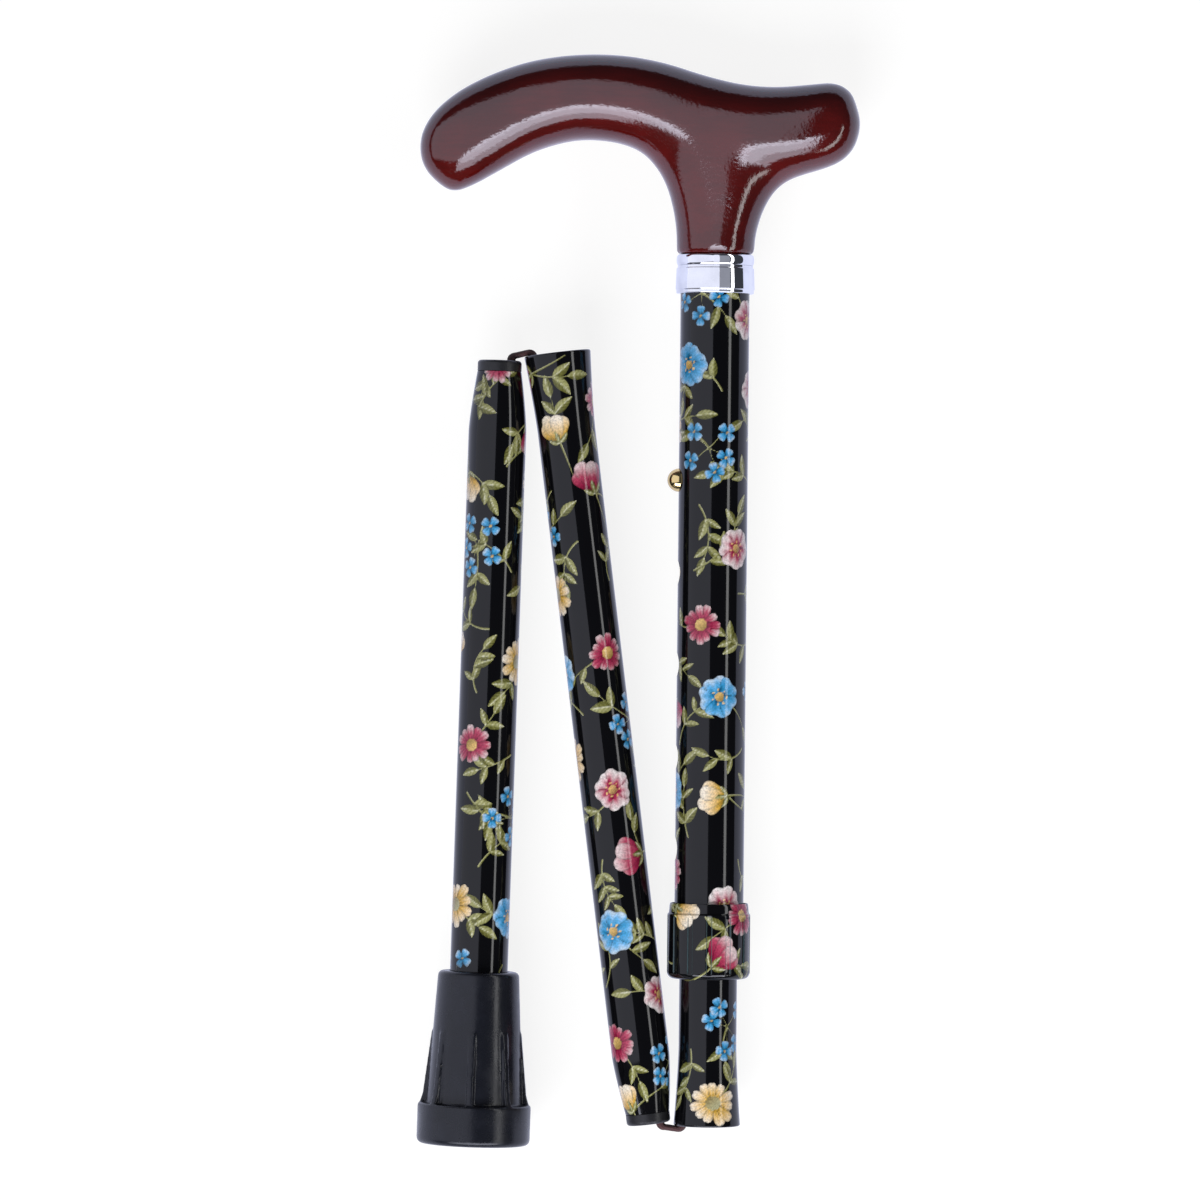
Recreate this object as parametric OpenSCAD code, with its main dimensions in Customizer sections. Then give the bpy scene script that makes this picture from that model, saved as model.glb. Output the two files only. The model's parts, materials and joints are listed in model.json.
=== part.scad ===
// Folding cane, half folded and lying flat: +Y runs up the handle section, +Z is up from the table.
// All tube axes lie in one plane, at the height of the ferrule's radius. Sizes are in millimetres.

/* [Tubes] */
// Outside diameter of the inner, middle and lower tubes
lower_tube_d = 15.9; // [13:0.1:20]
// Wall of the inner, middle and lower tubes
lower_wall = 1; // [0.8:0.1:1.5]
// Wall of the upper tube
upper_wall = 1.2; // [0.8:0.1:2]
// Radial gap between the sliding tubes
slide_gap = 0.35; // [0.2:0.05:0.6]
// Length of the inner tube, socket included
inner_tube_len = 199.3; // [185:0.1:240]
// Length of the middle tube from its plug to its socket's mouth
middle_tube_len = 213.8; // [180:0.1:260]
// Length of the lower tube from its plug to its foot
lower_tube_len = 206.5; // [180:0.5:260]
// How far the inner tube's mouth lies below the locking ring at the shortest setting
inner_reach = 40.5; // [34:0.5:60]
// Free space between the guide bush and the handle's screw at the shortest setting
head_room = 2.5; // [1:0.1:20]

/* [Height setting] */
// Distance from the inner tube's top down to the button
button_drop = 21.6; // [16:0.1:40]
// Distance from the last adjusting hole down to the locking ring
last_hole_gap = 14.8; // [8:0.1:40]
// Number of adjusting holes
hole_count = 5; // [3:1:6]
// Radius of an adjusting hole
hole_r = 3.35; // [2.5:0.05:4]
// Gap around the button in its hole
button_gap = 0.1; // [0.05:0.05:0.2]
// How far the button's dome stands out of the upper tube
button_proud = 3.15; // [2:0.05:4]

/* [Locking ring] */
// Radial thickness of the ring over the upper tube
ring_wall = 1.9; // [1.7:0.1:3]
// Length of the ring
ring_len = 20.8; // [18:0.1:30]
// Length of upper tube inside the ring
ring_cover = 9; // [7:0.5:12]
// Number of flutes
flute_count = 13; // [8:1:20]
// Width of a flute
flute_w = 1.5; // [1:0.1:2]
// Depth of a flute
flute_depth = 0.35; // [0.2:0.05:0.5]

/* [Sockets and spigots] */
// Outside radius added by the flare at a socket's mouth
flare_grow = 1.25; // [1:0.05:1.5]
// Length of the flare
flare_len = 22; // [18:0.5:26]
// Radius lost by a spigot at its end
spigot_shrink = 1.89; // [1.7:0.01:2]
// How deep a spigot seats in its socket
seat_depth = 13.6; // [11:0.1:14]
// Length of the plastic cap on a spigot
plug_cap = 3; // [2:0.1:4]
// Length of the plug inside its tube
plug_len = 12; // [10:0.5:20]

/* [Fold] */
// Angle between the handle section and the middle tube
first_fold = 7.35; // [7.35:0.05:60]
// Angle between the middle and the lower tube
second_fold = 8.75; // [8.7:0.05:60]
// Distance of each fold's pivot from the tube axes
pivot_out = 7.95; // [7.9:0.01:8.4]
// Height of the pivot inside the socket's mouth
pivot_in = 0.5; // [0.3:0.05:0.8]
// Gap from spigot to socket when the tubes are in line and pulled apart
pull_gap = 0.4; // [0.3:0.05:1]

/* [Cord] */
// Diameter of the elastic cord
cord_d = 2.4; // [2:0.1:3]
// Gap between the cord and what it passes
cord_gap = 0.1; // [0.05:0.05:0.3]

/* [Ferrule] */
// Radius of the ferrule's foot
foot_r = 15.6; // [14:0.1:20]
// Radius at the ferrule's upper rim
rim_r = 11.2; // [10.5:0.1:13]
// Length of the ferrule
ferrule_len = 47.7; // [40:0.1:60]
// Rubber below the tube
sole_thick = 8; // [6:0.5:10]
// Height of the plain band at the foot
band_h = 11.2; // [8:0.1:14]
// Number of buttress ribs
rib_count = 8; // [6:1:12]
// Thickness of a rib
rib_w = 1.8; // [1.2:0.1:3]

/* [Handle and collar] */
// Distance of the inner tube's mouth below the middle of the folded cane
mouth_drop = 144.3; // [120:0.1:180]
// Distance of the handle section from the middle of the folded cane
shaft_x = 21; // [15:0.1:30]
// Height of the collar
collar_h = 10.7; // [8:0.1:14]
// Wall of the collar
collar_wall = 1.4; // [1:0.1:2]
// Half thickness of the grip
grip_half = 13.2; // [11:0.1:15]
// Size of the grip against its drawn outline
grip_scale = 1; // [0.95:0.01:1.1]

/* [Hidden] */
$fn = 64;

// Clearances of pieces that are pressed or glued together, and of turning ones, and how far a cut
// or a joined solid runs past the face it starts from.
press_gap = 0.03;
turn_gap = 0.1;
cut = 1;

// Radii of the tubes, from the inside out.
lower_r = lower_tube_d / 2;
lower_bore = lower_r - lower_wall;
upper_bore = lower_r + slide_gap;
upper_r = upper_bore + upper_wall;
flare_r = lower_r + flare_grow;
spigot_r = lower_r - spigot_shrink;
spigot_bore = spigot_r - lower_wall;
cord_r = cord_d / 2;
axis_z = foot_r;

// Heights on the handle section, from the inner tube's mouth up to the handle joint.
collar_lip = 1;
bush_h = 3;
screw_head_h = 3;
tenon_in_tube = 31;
mouth_y = -mouth_drop;
ring_low_y = mouth_y + inner_reach;
ring_top_y = ring_low_y + ring_len;
tube_end_y = ring_top_y - ring_cover;
inner_top_y = mouth_y + inner_tube_len;
hole_y = inner_top_y - button_drop;
hole_pitch = (hole_y - ring_top_y - last_hole_gap) / (hole_count - 1);
joint_y = inner_top_y + bush_h + head_room + screw_head_h + tenon_in_tube + collar_lip;
upper_tube_len = joint_y - collar_lip - tube_end_y;

// The tubes in line and pulled apart: mouth and plug heights, and the two pivots.
middle_plug_y = mouth_y - pull_gap;
middle_mouth_y = middle_plug_y - middle_tube_len;
lower_plug_y = middle_mouth_y - pull_gap;
first_pivot = [shaft_x - pivot_out, mouth_y + pivot_in];
second_pivot = [shaft_x + pivot_out, middle_mouth_y + pivot_in];
washer_t = 1.5;
lower_len_all = lower_tube_len + washer_t + sole_thick;

// Frames: z runs up or down the handle section, or along a folded tube away from its plug.
module column_up(y) {
    translate([shaft_x, y, axis_z])
        rotate([-90, 0, 0])
            children();
}

module column_down(y) {
    translate([shaft_x, y, axis_z])
        rotate([90, 0, 0])
            children();
}

module turn_about(p, angle) {
    translate([p[0], p[1], 0])
        rotate([0, 0, angle])
            translate([-p[0], -p[1], 0])
                children();
}

module first_folded() {
    turn_about(first_pivot, first_fold - 180)
        children();
}

module in_middle() {
    first_folded()
        column_down(middle_plug_y)
            children();
}

module in_lower() {
    first_folded()
        turn_about(second_pivot, 180 - second_fold)
            column_down(lower_plug_y)
                children();
}

// Shapes that several pieces use.
module ring_shape(r_out, r_in, h) {
    difference() {
        cylinder(r = r_out, h = h);
        translate([0, 0, -cut])
            cylinder(r = r_in, h = h + 2 * cut);
    }
}

// One tube's wall as a profile: a spigot at z = 0, a flared socket at the far end, or plain ends.
flare_steps = 8;
rim_steps = 6;
rim_edge = lower_wall / 2;
function flare_at(s) = flare_grow * pow(s, 1.4);
function flare_side(len, r) = [for (i = [0:flare_steps])
    [r + flare_at(i / flare_steps), len - flare_len + (flare_len - rim_edge) * i / flare_steps]];
function rim_arc(len) = [for (i = [1:rim_steps - 1])
    [flare_r - rim_edge + rim_edge * cos(180 * i / rim_steps),
        len - rim_edge + rim_edge * sin(180 * i / rim_steps)]];
function backwards(list) = [for (i = [len(list) - 1:-1:0]) list[i]];

function near_end(spigot, r, shrink) = spigot
    ? [[r - shrink, plug_cap], [r, seat_depth]]
    : [[r, 0]];
function far_side(socket, len, r) = socket
    ? flare_side(len, r)
    : [[r, len]];

module tube_shape(len, spigot, socket) {
    rotate_extrude()
        polygon(concat(near_end(spigot, lower_r, spigot_shrink), far_side(socket, len, lower_r),
            socket ? rim_arc(len) : [], backwards(far_side(socket, len, lower_bore)),
            backwards(near_end(spigot, lower_bore, spigot_shrink))));
}

// A straight stretch of cord between two points of a tube's middle plane.
module cord_run(from, to) {
    run = to - from;
    translate([from[0], 0, from[1]])
        rotate([0, atan2(run[0], run[1]), 0])
            cylinder(r = cord_r, h = norm(run));
}

// Handle: ribs run from an outline to a spine with three branches, and are mirrored front to back.
// A spine row is x, y, half thickness against the thickest, and squareness of the rib.
stem_in = 0.15;
stem_r = upper_r + collar_wall - stem_in;
stem_spine = [[0, 0, stem_r / grip_half, 2], [0.1, 6, 0.83, 2.05], [0.3, 12, 0.865, 2.15],
    [0.2, 19, 0.91, 2.25], [-1, 26.5, 0.955, 2.3], [-3, 34.5, 0.985, 2.3]];
nose_spine = [[-3, 34.5, 0.985, 2.3], [7, 32.8, 0.975, 2.3], [16, 33.2, 0.95, 2.3], [23, 34.7, 0.915, 2.3],
    [28, 36, 0.87, 2.3], [29.9, 36.3, 0.84, 2.3], [30.6, 36.4, 0.83, 2.3], [30.9, 36.4, 0.825, 2.3]];
arm_spine = [[-3, 34.5, 0.985, 2.3], [-14, 38.6, 0.995, 2.3], [-26, 41.8, 1, 2.3], [-38, 42.4, 1, 2.3],
    [-50.2, 39.8, 0.98, 2.3], [-60, 35.4, 0.925, 2.3], [-66.6, 31.8, 0.86, 2.3], [-69.8, 29.7, 0.81, 2.3],
    [-71.4, 28.6, 0.78, 2.3], [-72.2, 28, 0.76, 2.3], [-72.6, 27.7, 0.75, 2.3]];
// The outline, from the stem's right side over nose, top and arm to its left side.
right_edge = [[stem_r, 0], [10.95, 4.3], [11.7, 8], [12.9, 11.6], [14.6, 15.1], [17.2, 18.6]];
nose_under = [[20.7, 21], [25, 22.6], [29.2, 23.9], [33.2, 25.5], [36.2, 27.7], [38.4, 31], [39.6, 36.3]];
nose_top = [[38.5, 41.4], [36.6, 45.4], [32.2, 47.7], [25.2, 47.2], [16, 46.5], [6.6, 47.2]];
arm_top = [[-3.5, 49.5], [-14.6, 52.8], [-26, 54.7], [-38.4, 54.8], [-50.4, 53.1], [-60.4, 49.9],
    [-68.6, 46], [-74.4, 42], [-78.5, 37.8], [-81.1, 33], [-81.7, 28.2]];
arm_under = [[-80.5, 23.6], [-77.4, 19.8], [-72.6, 16.9], [-66.8, 18.7], [-59.6, 22.7], [-49.8, 28],
    [-38.8, 31.1], [-28.6, 30.8], [-21.1, 28.3]];
left_edge = [[-16.5, 23.8], [-13.6, 18.5], [-11.95, 12.9], [-11.1, 8.2], [-10.8, 4.1], [-stem_r, 0]];
outline_rows = concat(right_edge, nose_under, nose_top, arm_top, arm_under, left_edge);

rib_steps = 8;
between = 3;
function curve_at(rows, t) =
    let (i = min(floor(t), len(rows) - 2), f = t - i, b = rows[i], c = rows[i + 1],
        a = i > 0 ? rows[i - 1] : 2 * b - c,
        d = i < len(rows) - 2 ? rows[i + 2] : 2 * c - b)
    b + 0.5 * f * (c - a + f * (2 * a - 5 * b + 4 * c - d + f * (3 * (b - c) + d - a)));
function curve(rows) = [for (i = [0:(len(rows) - 1) * between]) curve_at(rows, i / between)];

stem_points = curve(stem_spine);
nose_points = curve(nose_spine);
arm_points = curve(arm_spine);
stem_n = len(stem_points) - 1;
nose_n = len(nose_points) - 1;
arm_n = len(arm_points) - 1;
spine = concat(stem_points, [for (i = [1:nose_n]) nose_points[i]], [for (i = [1:arm_n]) arm_points[i]]);
edge = curve(outline_rows);
// Which spine point each outline point's rib ends on.
rib_foot = concat([for (i = [0:stem_n + nose_n]) i], [for (i = [nose_n - 1:-1:0]) stem_n + i],
    [for (i = [1:arm_n]) stem_n + nose_n + i], [for (i = [arm_n - 1:-1:1]) stem_n + nose_n + i],
    [for (i = [stem_n:-1:0]) i]);
edge_n = len(edge);

function rib_point(i, k, side) =
    let (foot = spine[rib_foot[i]], a = 90 * k / rib_steps, power = 2 / foot[3],
        reach = pow(cos(a), power), rise = pow(sin(a), power))
    [grip_scale * (foot[0] + (edge[i][0] - foot[0]) * reach),
        grip_scale * (foot[1] + (edge[i][1] - foot[1]) * reach), side * grip_half * foot[2] * rise];
function spine_point(s, side) = [grip_scale * s[0], grip_scale * s[1], side * grip_half * s[2]];
handle_points = concat([for (i = [0:edge_n - 1]) rib_point(i, 0, 1)],
    [for (side = [1, -1]) for (i = [0:edge_n - 1]) for (k = [1:rib_steps - 1]) rib_point(i, k, side)],
    [for (side = [1, -1]) for (s = spine) spine_point(s, side)]);
inner_n = edge_n * (rib_steps - 1);
function point_index(i, k, back) = k == 0 ? i
    : k < rib_steps ? edge_n + back * inner_n + i * (rib_steps - 1) + k - 1
    : edge_n + 2 * inner_n + back * len(spine) + rib_foot[i];
function handle_quad(i, k, back) =
    let (a = point_index(i, k, back), b = point_index(i + 1, k, back),
        c = point_index(i + 1, k + 1, back), d = point_index(i, k + 1, back))
    back == 0 ? [[a, c, b], [a, d, c]] : [[a, b, c], [a, c, d]];
handle_cap = concat([for (k = [0:rib_steps]) point_index(0, k, 0)],
    [for (k = [rib_steps - 1:-1:0]) point_index(edge_n - 1, k, 0)],
    [for (k = [1:rib_steps]) point_index(edge_n - 1, k, 1)],
    [for (k = [rib_steps - 1:-1:1]) point_index(0, k, 1)]);
handle_faces = concat([handle_cap],
    [for (back = [0, 1]) for (i = [0:edge_n - 2]) for (k = [0:rib_steps - 1])
        for (face = handle_quad(i, k, back)) face]);

tenon_r = 6.5;
tenon_in_handle = 24;
screw_r = 2;
screw_head_r = 3.8;
screw_bite = 6;
screw_len = tenon_in_tube + collar_lip + tenon_in_handle + screw_bite;

module handle() {
    color("saddlebrown")
        difference() {
            translate([shaft_x, joint_y, axis_z])
                polyhedron(points = handle_points, faces = handle_faces);
            column_up(joint_y - cut)
                cylinder(r = tenon_r + press_gap, h = tenon_in_handle + cut + press_gap);
            column_up(joint_y)
                cylinder(r = screw_r + press_gap, h = tenon_in_handle + screw_bite + press_gap);
        }
}

module handle_tenon() {
    color("burlywood")
        column_up(joint_y - collar_lip)
            difference() {
                union() {
                    translate([0, 0, -tenon_in_tube])
                        cylinder(r = upper_bore - press_gap, h = tenon_in_tube - press_gap);
                    translate([0, 0, -cut])
                        cylinder(r = tenon_r, h = tenon_in_handle + collar_lip + cut);
                }
                translate([0, 0, -tenon_in_tube - cut])
                    cylinder(r = screw_r + press_gap, h = screw_len + cut);
            }
}

module handle_screw() {
    color("silver")
        column_up(joint_y - collar_lip - tenon_in_tube) {
            translate([0, 0, -screw_head_h])
                cylinder(r = screw_head_r, h = screw_head_h - press_gap);
            translate([0, 0, -cut])
                cylinder(r = screw_r, h = screw_len + cut);
        }
}

// The collar is a bead over a groove over a plain band with a thin lower lip.
bead_h = 3;
bead_in = 0.2;
bead_swell = 0.5;
groove_h = 0.6;
groove_depth = 0.5;
lip_h = 1.2;
lip_in = 0.2;
edge_break = 0.3;
collar_r = upper_r + collar_wall;
lip_r = collar_r - lip_in;
groove_low = -bead_h - groove_h;
bead_steps = 6;
function bead_point(a) = [collar_r - bead_in - bead_swell * (1 - sin(a)), -bead_h / 2 * (1 + cos(a))];
function collar_side() = concat(
    [[lip_r - edge_break, -collar_h], [lip_r, -collar_h + edge_break],
        [lip_r, -collar_h + lip_h - edge_break], [collar_r, -collar_h + lip_h],
        [collar_r, groove_low - edge_break],
        [collar_r - edge_break, groove_low], [collar_r - groove_depth, groove_low],
        [collar_r - groove_depth, -bead_h]],
    [for (i = [0:bead_steps]) bead_point(180 * i / bead_steps)]);

module collar() {
    color("gainsboro")
        column_up(joint_y)
            rotate_extrude()
                polygon(concat(collar_side(), [[tenon_r + press_gap, 0], [tenon_r + press_gap, -collar_lip],
                    [upper_r + press_gap, -collar_lip], [upper_r + press_gap, -collar_h]]));
}

module upper_tube() {
    color("black")
        difference() {
            column_up(tube_end_y)
                ring_shape(upper_r, upper_bore, upper_tube_len - press_gap);
            for (i = [0:hole_count - 1])
                translate([shaft_x - upper_r - cut, hole_y - i * hole_pitch, axis_z])
                    rotate([0, 90, 0])
                        cylinder(r = hole_r, h = upper_r);
        }
}

sleeve_wall = 0.8;
sleeve_short = 1;
sleeve_len = ring_cover - sleeve_short;
collet_len = 6.8;
collet_in = 0.3;
collet_slot = 1;
collet_root = 2;
floor_gap = 0.4;
ring_floor = ring_len - ring_cover - collet_len - floor_gap;

module threaded_sleeve() {
    color("dimgray")
        column_up(tube_end_y)
            ring_shape(upper_r + sleeve_wall, upper_r + press_gap, sleeve_len);
}

module clamp_collet() {
    color("white")
        column_up(tube_end_y - collet_len)
            difference() {
                cylinder(r1 = upper_r - collet_in, r2 = upper_r + sleeve_wall - turn_gap,
                    h = collet_len - press_gap);
                translate([0, 0, -cut])
                    cylinder(r = lower_r + turn_gap, h = collet_len + 2 * cut);
                for (i = [0:2])
                    rotate([0, 0, 120 * i])
                        translate([0, -collet_slot / 2, -cut])
                            cube([upper_r + sleeve_wall, collet_slot, collet_len - collet_root + cut]);
            }
}

ring_r = upper_r + ring_wall;
ring_bore = upper_r + sleeve_wall + turn_gap;
ring_round = 1.85;
ring_top_plain = 2.7;
ring_step = ring_len - ring_top_plain;
step_h = 0.4;
step_in = 0.35;
top_draft = 0.2;
top_edge = 0.8;
top_break = 0.2;
flute_stop = 0.6;
round_steps = 5;
function quarter(r, i) = [r * sin(90 * i / round_steps), r - r * cos(90 * i / round_steps)];
function ring_side() = concat(
    [for (i = [0:round_steps]) [ring_r - ring_round, 0] + quarter(ring_round, i)],
    [[ring_r, ring_step - step_h], [ring_r - step_in, ring_step],
        [ring_r - step_in - top_draft, ring_len - top_edge],
        [ring_r - step_in - top_draft - top_break, ring_len]]);

module locking_ring() {
    color("black")
        column_up(ring_low_y)
            difference() {
                rotate_extrude()
                    polygon(concat([[lower_r + slide_gap, 0]], ring_side(),
                        [[ring_bore, ring_len], [ring_bore, ring_floor],
                            [lower_r + slide_gap, ring_floor]]));
                for (i = [0:flute_count - 1])
                    rotate([0, 0, 360 * i / flute_count])
                        translate([ring_r - flute_depth, -flute_w / 2, ring_round])
                            cube([flute_depth + cut, flute_w, ring_step - ring_round - flute_stop]);
            }
}

module inner_tube() {
    color("black")
        difference() {
            column_down(inner_top_y)
                tube_shape(inner_tube_len, false, true);
            translate([shaft_x - lower_r - cut, hole_y, axis_z])
                rotate([0, 90, 0])
                    cylinder(r = hole_r, h = lower_r);
        }
}

bush_spigot = 8;
bush_bore = 3;

module guide_bush() {
    color("dimgray")
        column_down(inner_top_y)
            difference() {
                union() {
                    translate([0, 0, -bush_h])
                        cylinder(r = upper_bore - turn_gap, h = bush_h - press_gap);
                    translate([0, 0, -cut])
                        cylinder(r = lower_bore - press_gap, h = bush_spigot + cut);
                }
                translate([0, 0, -bush_h - cut])
                    cylinder(r = bush_bore, h = bush_h + bush_spigot + 2 * cut);
            }
}

// The button points to -X. Its flange stops it inside the tube, and the leaf presses on the flange.
button_r = hole_r - button_gap;
flange_wide = 0.5;
flange_r = hole_r + flange_wide;
flange_x = sqrt(lower_bore * lower_bore - flange_r * flange_r) - turn_gap;
flange_t = 0.9;

module snap_button() {
    dome_x = upper_r + button_proud - button_r;
    color("gold")
        translate([shaft_x, hole_y, axis_z])
            rotate([0, -90, 0]) {
                translate([0, 0, dome_x])
                    sphere(r = button_r);
                translate([0, 0, flange_x - flange_t / 2])
                    cylinder(r = button_r, h = dome_x - flange_x + flange_t / 2);
                translate([0, 0, flange_x - flange_t])
                    cylinder(r = flange_r, h = flange_t);
            }
}

// A V of leaf spring in the tube's middle plane: one leg behind the button, the other on the far wall.
leaf_w = 5;
leaf_t = 0.6;
leaf_up = 4.5;
leaf_down = 32;
leaf_gap = 0.15;
leaf_left = flange_x - flange_t - press_gap;
leaf_right = sqrt(lower_bore * lower_bore - leaf_w * leaf_w / 4) - leaf_gap;
leaf_bend = 2;
leaf_toe = 1.5 - leaf_down;

module button_spring() {
    color("silver")
        translate([shaft_x, hole_y, axis_z - leaf_w / 2])
            linear_extrude(leaf_w)
                polygon([[-leaf_left, leaf_up], [-leaf_left, -leaf_up], [-leaf_bend, leaf_toe],
                    [-leaf_bend / 2, -leaf_down], [leaf_bend / 2, -leaf_down],
                    [leaf_bend, leaf_toe], [leaf_right, leaf_up], [leaf_right - leaf_t, leaf_up],
                    [leaf_bend - leaf_t, leaf_toe + leaf_t / 2],
                    [leaf_bend / 2 - leaf_t / 2, leaf_t - leaf_down],
                    [leaf_t / 2 - leaf_bend / 2, leaf_t - leaf_down],
                    [leaf_t - leaf_bend, leaf_toe + leaf_t / 2],
                    [leaf_t - leaf_left, -leaf_up], [leaf_t - leaf_left, leaf_up]]);
}

// The cord: knotted at an anchor in the inner tube, over both folds, and knotted in the lower tube.
// In a socket it leans from its rim side at the mouth to the middle, past where a spigot reaches.
knot_r = 2.9;
anchor_len = 10;
anchor_gap = 5.6;
anchor_pos = button_drop + leaf_down + anchor_gap + 2 * knot_r;
cord_start = anchor_pos + anchor_len;
end_gap = 0.1;
leg_clear = 1;
leg_lean = 1.9;
socket_leg = seat_depth + pull_gap + leg_clear;
socket_side = flare_r - lower_wall - cord_r - cord_gap;
leg_side = socket_side - leg_lean;
plug_wall = 0.6;
plug_hole = spigot_bore - plug_wall;
plug_side = plug_hole - cord_r - cord_gap;
plug_leg = 5;
foot_room = 12;
lower_anchor = lower_tube_len - anchor_len - foot_room;

module cord_anchor() {
    ring_shape(lower_bore - press_gap, cord_r + cord_gap, anchor_len);
}

module cord_knot() {
    translate([0, 0, -knot_r])
        sphere(r = knot_r);
    translate([0, 0, -knot_r])
        cylinder(r = cord_r, h = knot_r + anchor_len - end_gap);
}

module cord_anchor_upper() {
    color("dimgray")
        column_down(inner_top_y)
            translate([0, 0, anchor_pos])
                cord_anchor();
}

module cord_knot_upper() {
    color("sienna")
        column_down(inner_top_y)
            translate([0, 0, anchor_pos])
                cord_knot();
}

module cord_upper() {
    color("sienna")
        column_down(inner_top_y)
            cord_run([0, cord_start + end_gap], [-leg_side, inner_tube_len - socket_leg - end_gap]);
}

// The cord's bend over the two rims, seen with the socket's mouth at the origin and its axis along Y.
// It runs down inside the socket, across both rims and up into the plug of the folded tube. The plug
// ends above the socket's rim, so the cord crosses the rim at a slant and starts a little lower.
slant_drop = 0.3;
loop_low = cord_r + cord_gap + slant_drop;
loop_bend = cord_r + 1.5 * cord_gap;
loop_sides = 12;
bend_steps = 6;
function turned(p, c, angle) = [c[0] + (p[0] - c[0]) * cos(angle) - (p[1] - c[1]) * sin(angle),
    c[1] + (p[0] - c[0]) * sin(angle) + (p[1] - c[1]) * cos(angle)];
function in_plug(p, fold) = turned([p[0], p[1] - pull_gap], [-pivot_out, pivot_in], fold - 180);
function unit(v) = v / norm(v);
function bend(a, b, c, r) =
    let (u = unit(a - b), w = unit(c - b), half = acos(u * w) / 2, mid = b + unit(u + w) * r / sin(half),
        s = b + u * r / tan(half) - mid, e = b + w * r / tan(half) - mid,
        sweep = (s[0] * e[1] - s[1] * e[0] > 0 ? 1 : -1) * (180 - 2 * half))
    [for (i = [0:bend_steps]) turned(mid + s, mid, sweep * i / bend_steps)];
function loop_path(fold) =
    let (a = [-leg_side, socket_leg], b = [-socket_side, -loop_low],
        c = in_plug([-plug_side, loop_low], fold), d = in_plug([-plug_side, -plug_leg], fold))
    concat([a], bend(a, b, c, loop_bend), bend(b, c, d, loop_bend), [d]);
function path_turn(p, i) =
    let (ahead = p[min(i + 1, len(p) - 1)] - p[min(i, len(p) - 2)],
        behind = p[max(i, 1)] - p[max(i - 1, 0)])
    unit(unit(ahead) + unit(behind));

module cord_loop(fold) {
    path = loop_path(fold);
    n = len(path);
    points = [for (i = [0:n - 1]) let (t = path_turn(path, i)) for (k = [0:loop_sides - 1])
        let (a = 360 * k / loop_sides)
        [path[i][0] - t[1] * cord_r * cos(a), path[i][1] + t[0] * cord_r * cos(a), cord_r * sin(a)]];
    sides = [for (i = [0:n - 2]) for (k = [0:loop_sides - 1])
        let (a = i * loop_sides + k, b = i * loop_sides + (k + 1) % loop_sides)
        for (face = [[a, b + loop_sides, b], [a, a + loop_sides, b + loop_sides]]) face];
    polyhedron(points = points, faces = concat(sides, [[for (k = [0:loop_sides - 1]) k]],
        [[for (k = [loop_sides - 1:-1:0]) (n - 1) * loop_sides + k]]));
}

module cord_loop_upper() {
    color("sienna")
        translate([shaft_x, mouth_y, axis_z])
            cord_loop(first_fold);
}

module middle_tube() {
    color("black")
        in_middle()
            tube_shape(middle_tube_len, true, true);
}

// A spigot's plug: a rounded cap on the tube's end, and a spigot inside it.
cap_round = 0.9;
plug_edge = 0.6;

module plug_shape() {
    rotate_extrude()
        polygon(concat(
            [for (i = [0:round_steps]) [spigot_r - cap_round, 0] + quarter(cap_round, i)],
            [[spigot_r, plug_cap - press_gap], [spigot_bore - press_gap, plug_cap - press_gap],
                [spigot_bore - press_gap, plug_cap + plug_len], [plug_hole, plug_cap + plug_len],
                [plug_hole, cap_round], [plug_hole + plug_edge, 0]]));
}

module middle_plug() {
    color("dimgray")
        in_middle()
            plug_shape();
}

module cord_middle() {
    color("sienna")
        in_middle()
            cord_run([-plug_side, plug_leg + end_gap], [leg_side, middle_tube_len - socket_leg - end_gap]);
}

module cord_loop_lower() {
    color("sienna")
        first_folded()
            translate([shaft_x, middle_mouth_y, axis_z])
                mirror([1, 0, 0])
                    cord_loop(second_fold);
}

module lower_tube() {
    color("black")
        in_lower()
            tube_shape(lower_tube_len, true, false);
}

module lower_plug() {
    color("dimgray")
        in_lower()
            plug_shape();
}

module cord_lower() {
    color("sienna")
        in_lower()
            cord_run([plug_side, plug_leg + end_gap], [0, lower_anchor - end_gap]);
}

module cord_anchor_lower() {
    color("dimgray")
        in_lower()
            translate([0, 0, lower_anchor])
                cord_anchor();
}

module cord_knot_lower() {
    color("sienna")
        in_lower()
            translate([0, 0, lower_anchor + anchor_len])
                mirror([0, 0, 1])
                    cord_knot();
}

// Ferrule: z = 0 at its upper rim, the sole at its full length.
ferrule_top = lower_len_all - ferrule_len;
bore_depth = lower_tube_len - ferrule_top;
rib_top = 17;
rib_rise = 4;
rib_out = 1.2;
rib_sink = 0.6;
rib_foot_in = 0.5;
rib_foot_slope = 0.8;
rib_foot_h = 2.5;
rib_root = 0.2;
rib_turn = 0.1;
cone_grow = 2;
rim_round = 1.4;
foot_round = 1.6;
band_edge = 0.5;
band_top = ferrule_len - band_h;
groove_r = 9.5;
groove_w = 2;
groove_deep = 1.2;
tread_r = 4.5;
function flipped(p) = [p[0], -p[1]];
function rib_side() = [[rim_r - rib_sink, rib_top - rib_rise], [rim_r + rib_out, rib_top],
    [foot_r - rib_foot_in - rib_foot_slope, band_top - rib_foot_h],
    [foot_r - rib_foot_in, band_top + rib_root], [rim_r - rib_sink, band_top + rib_root]];

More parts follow.
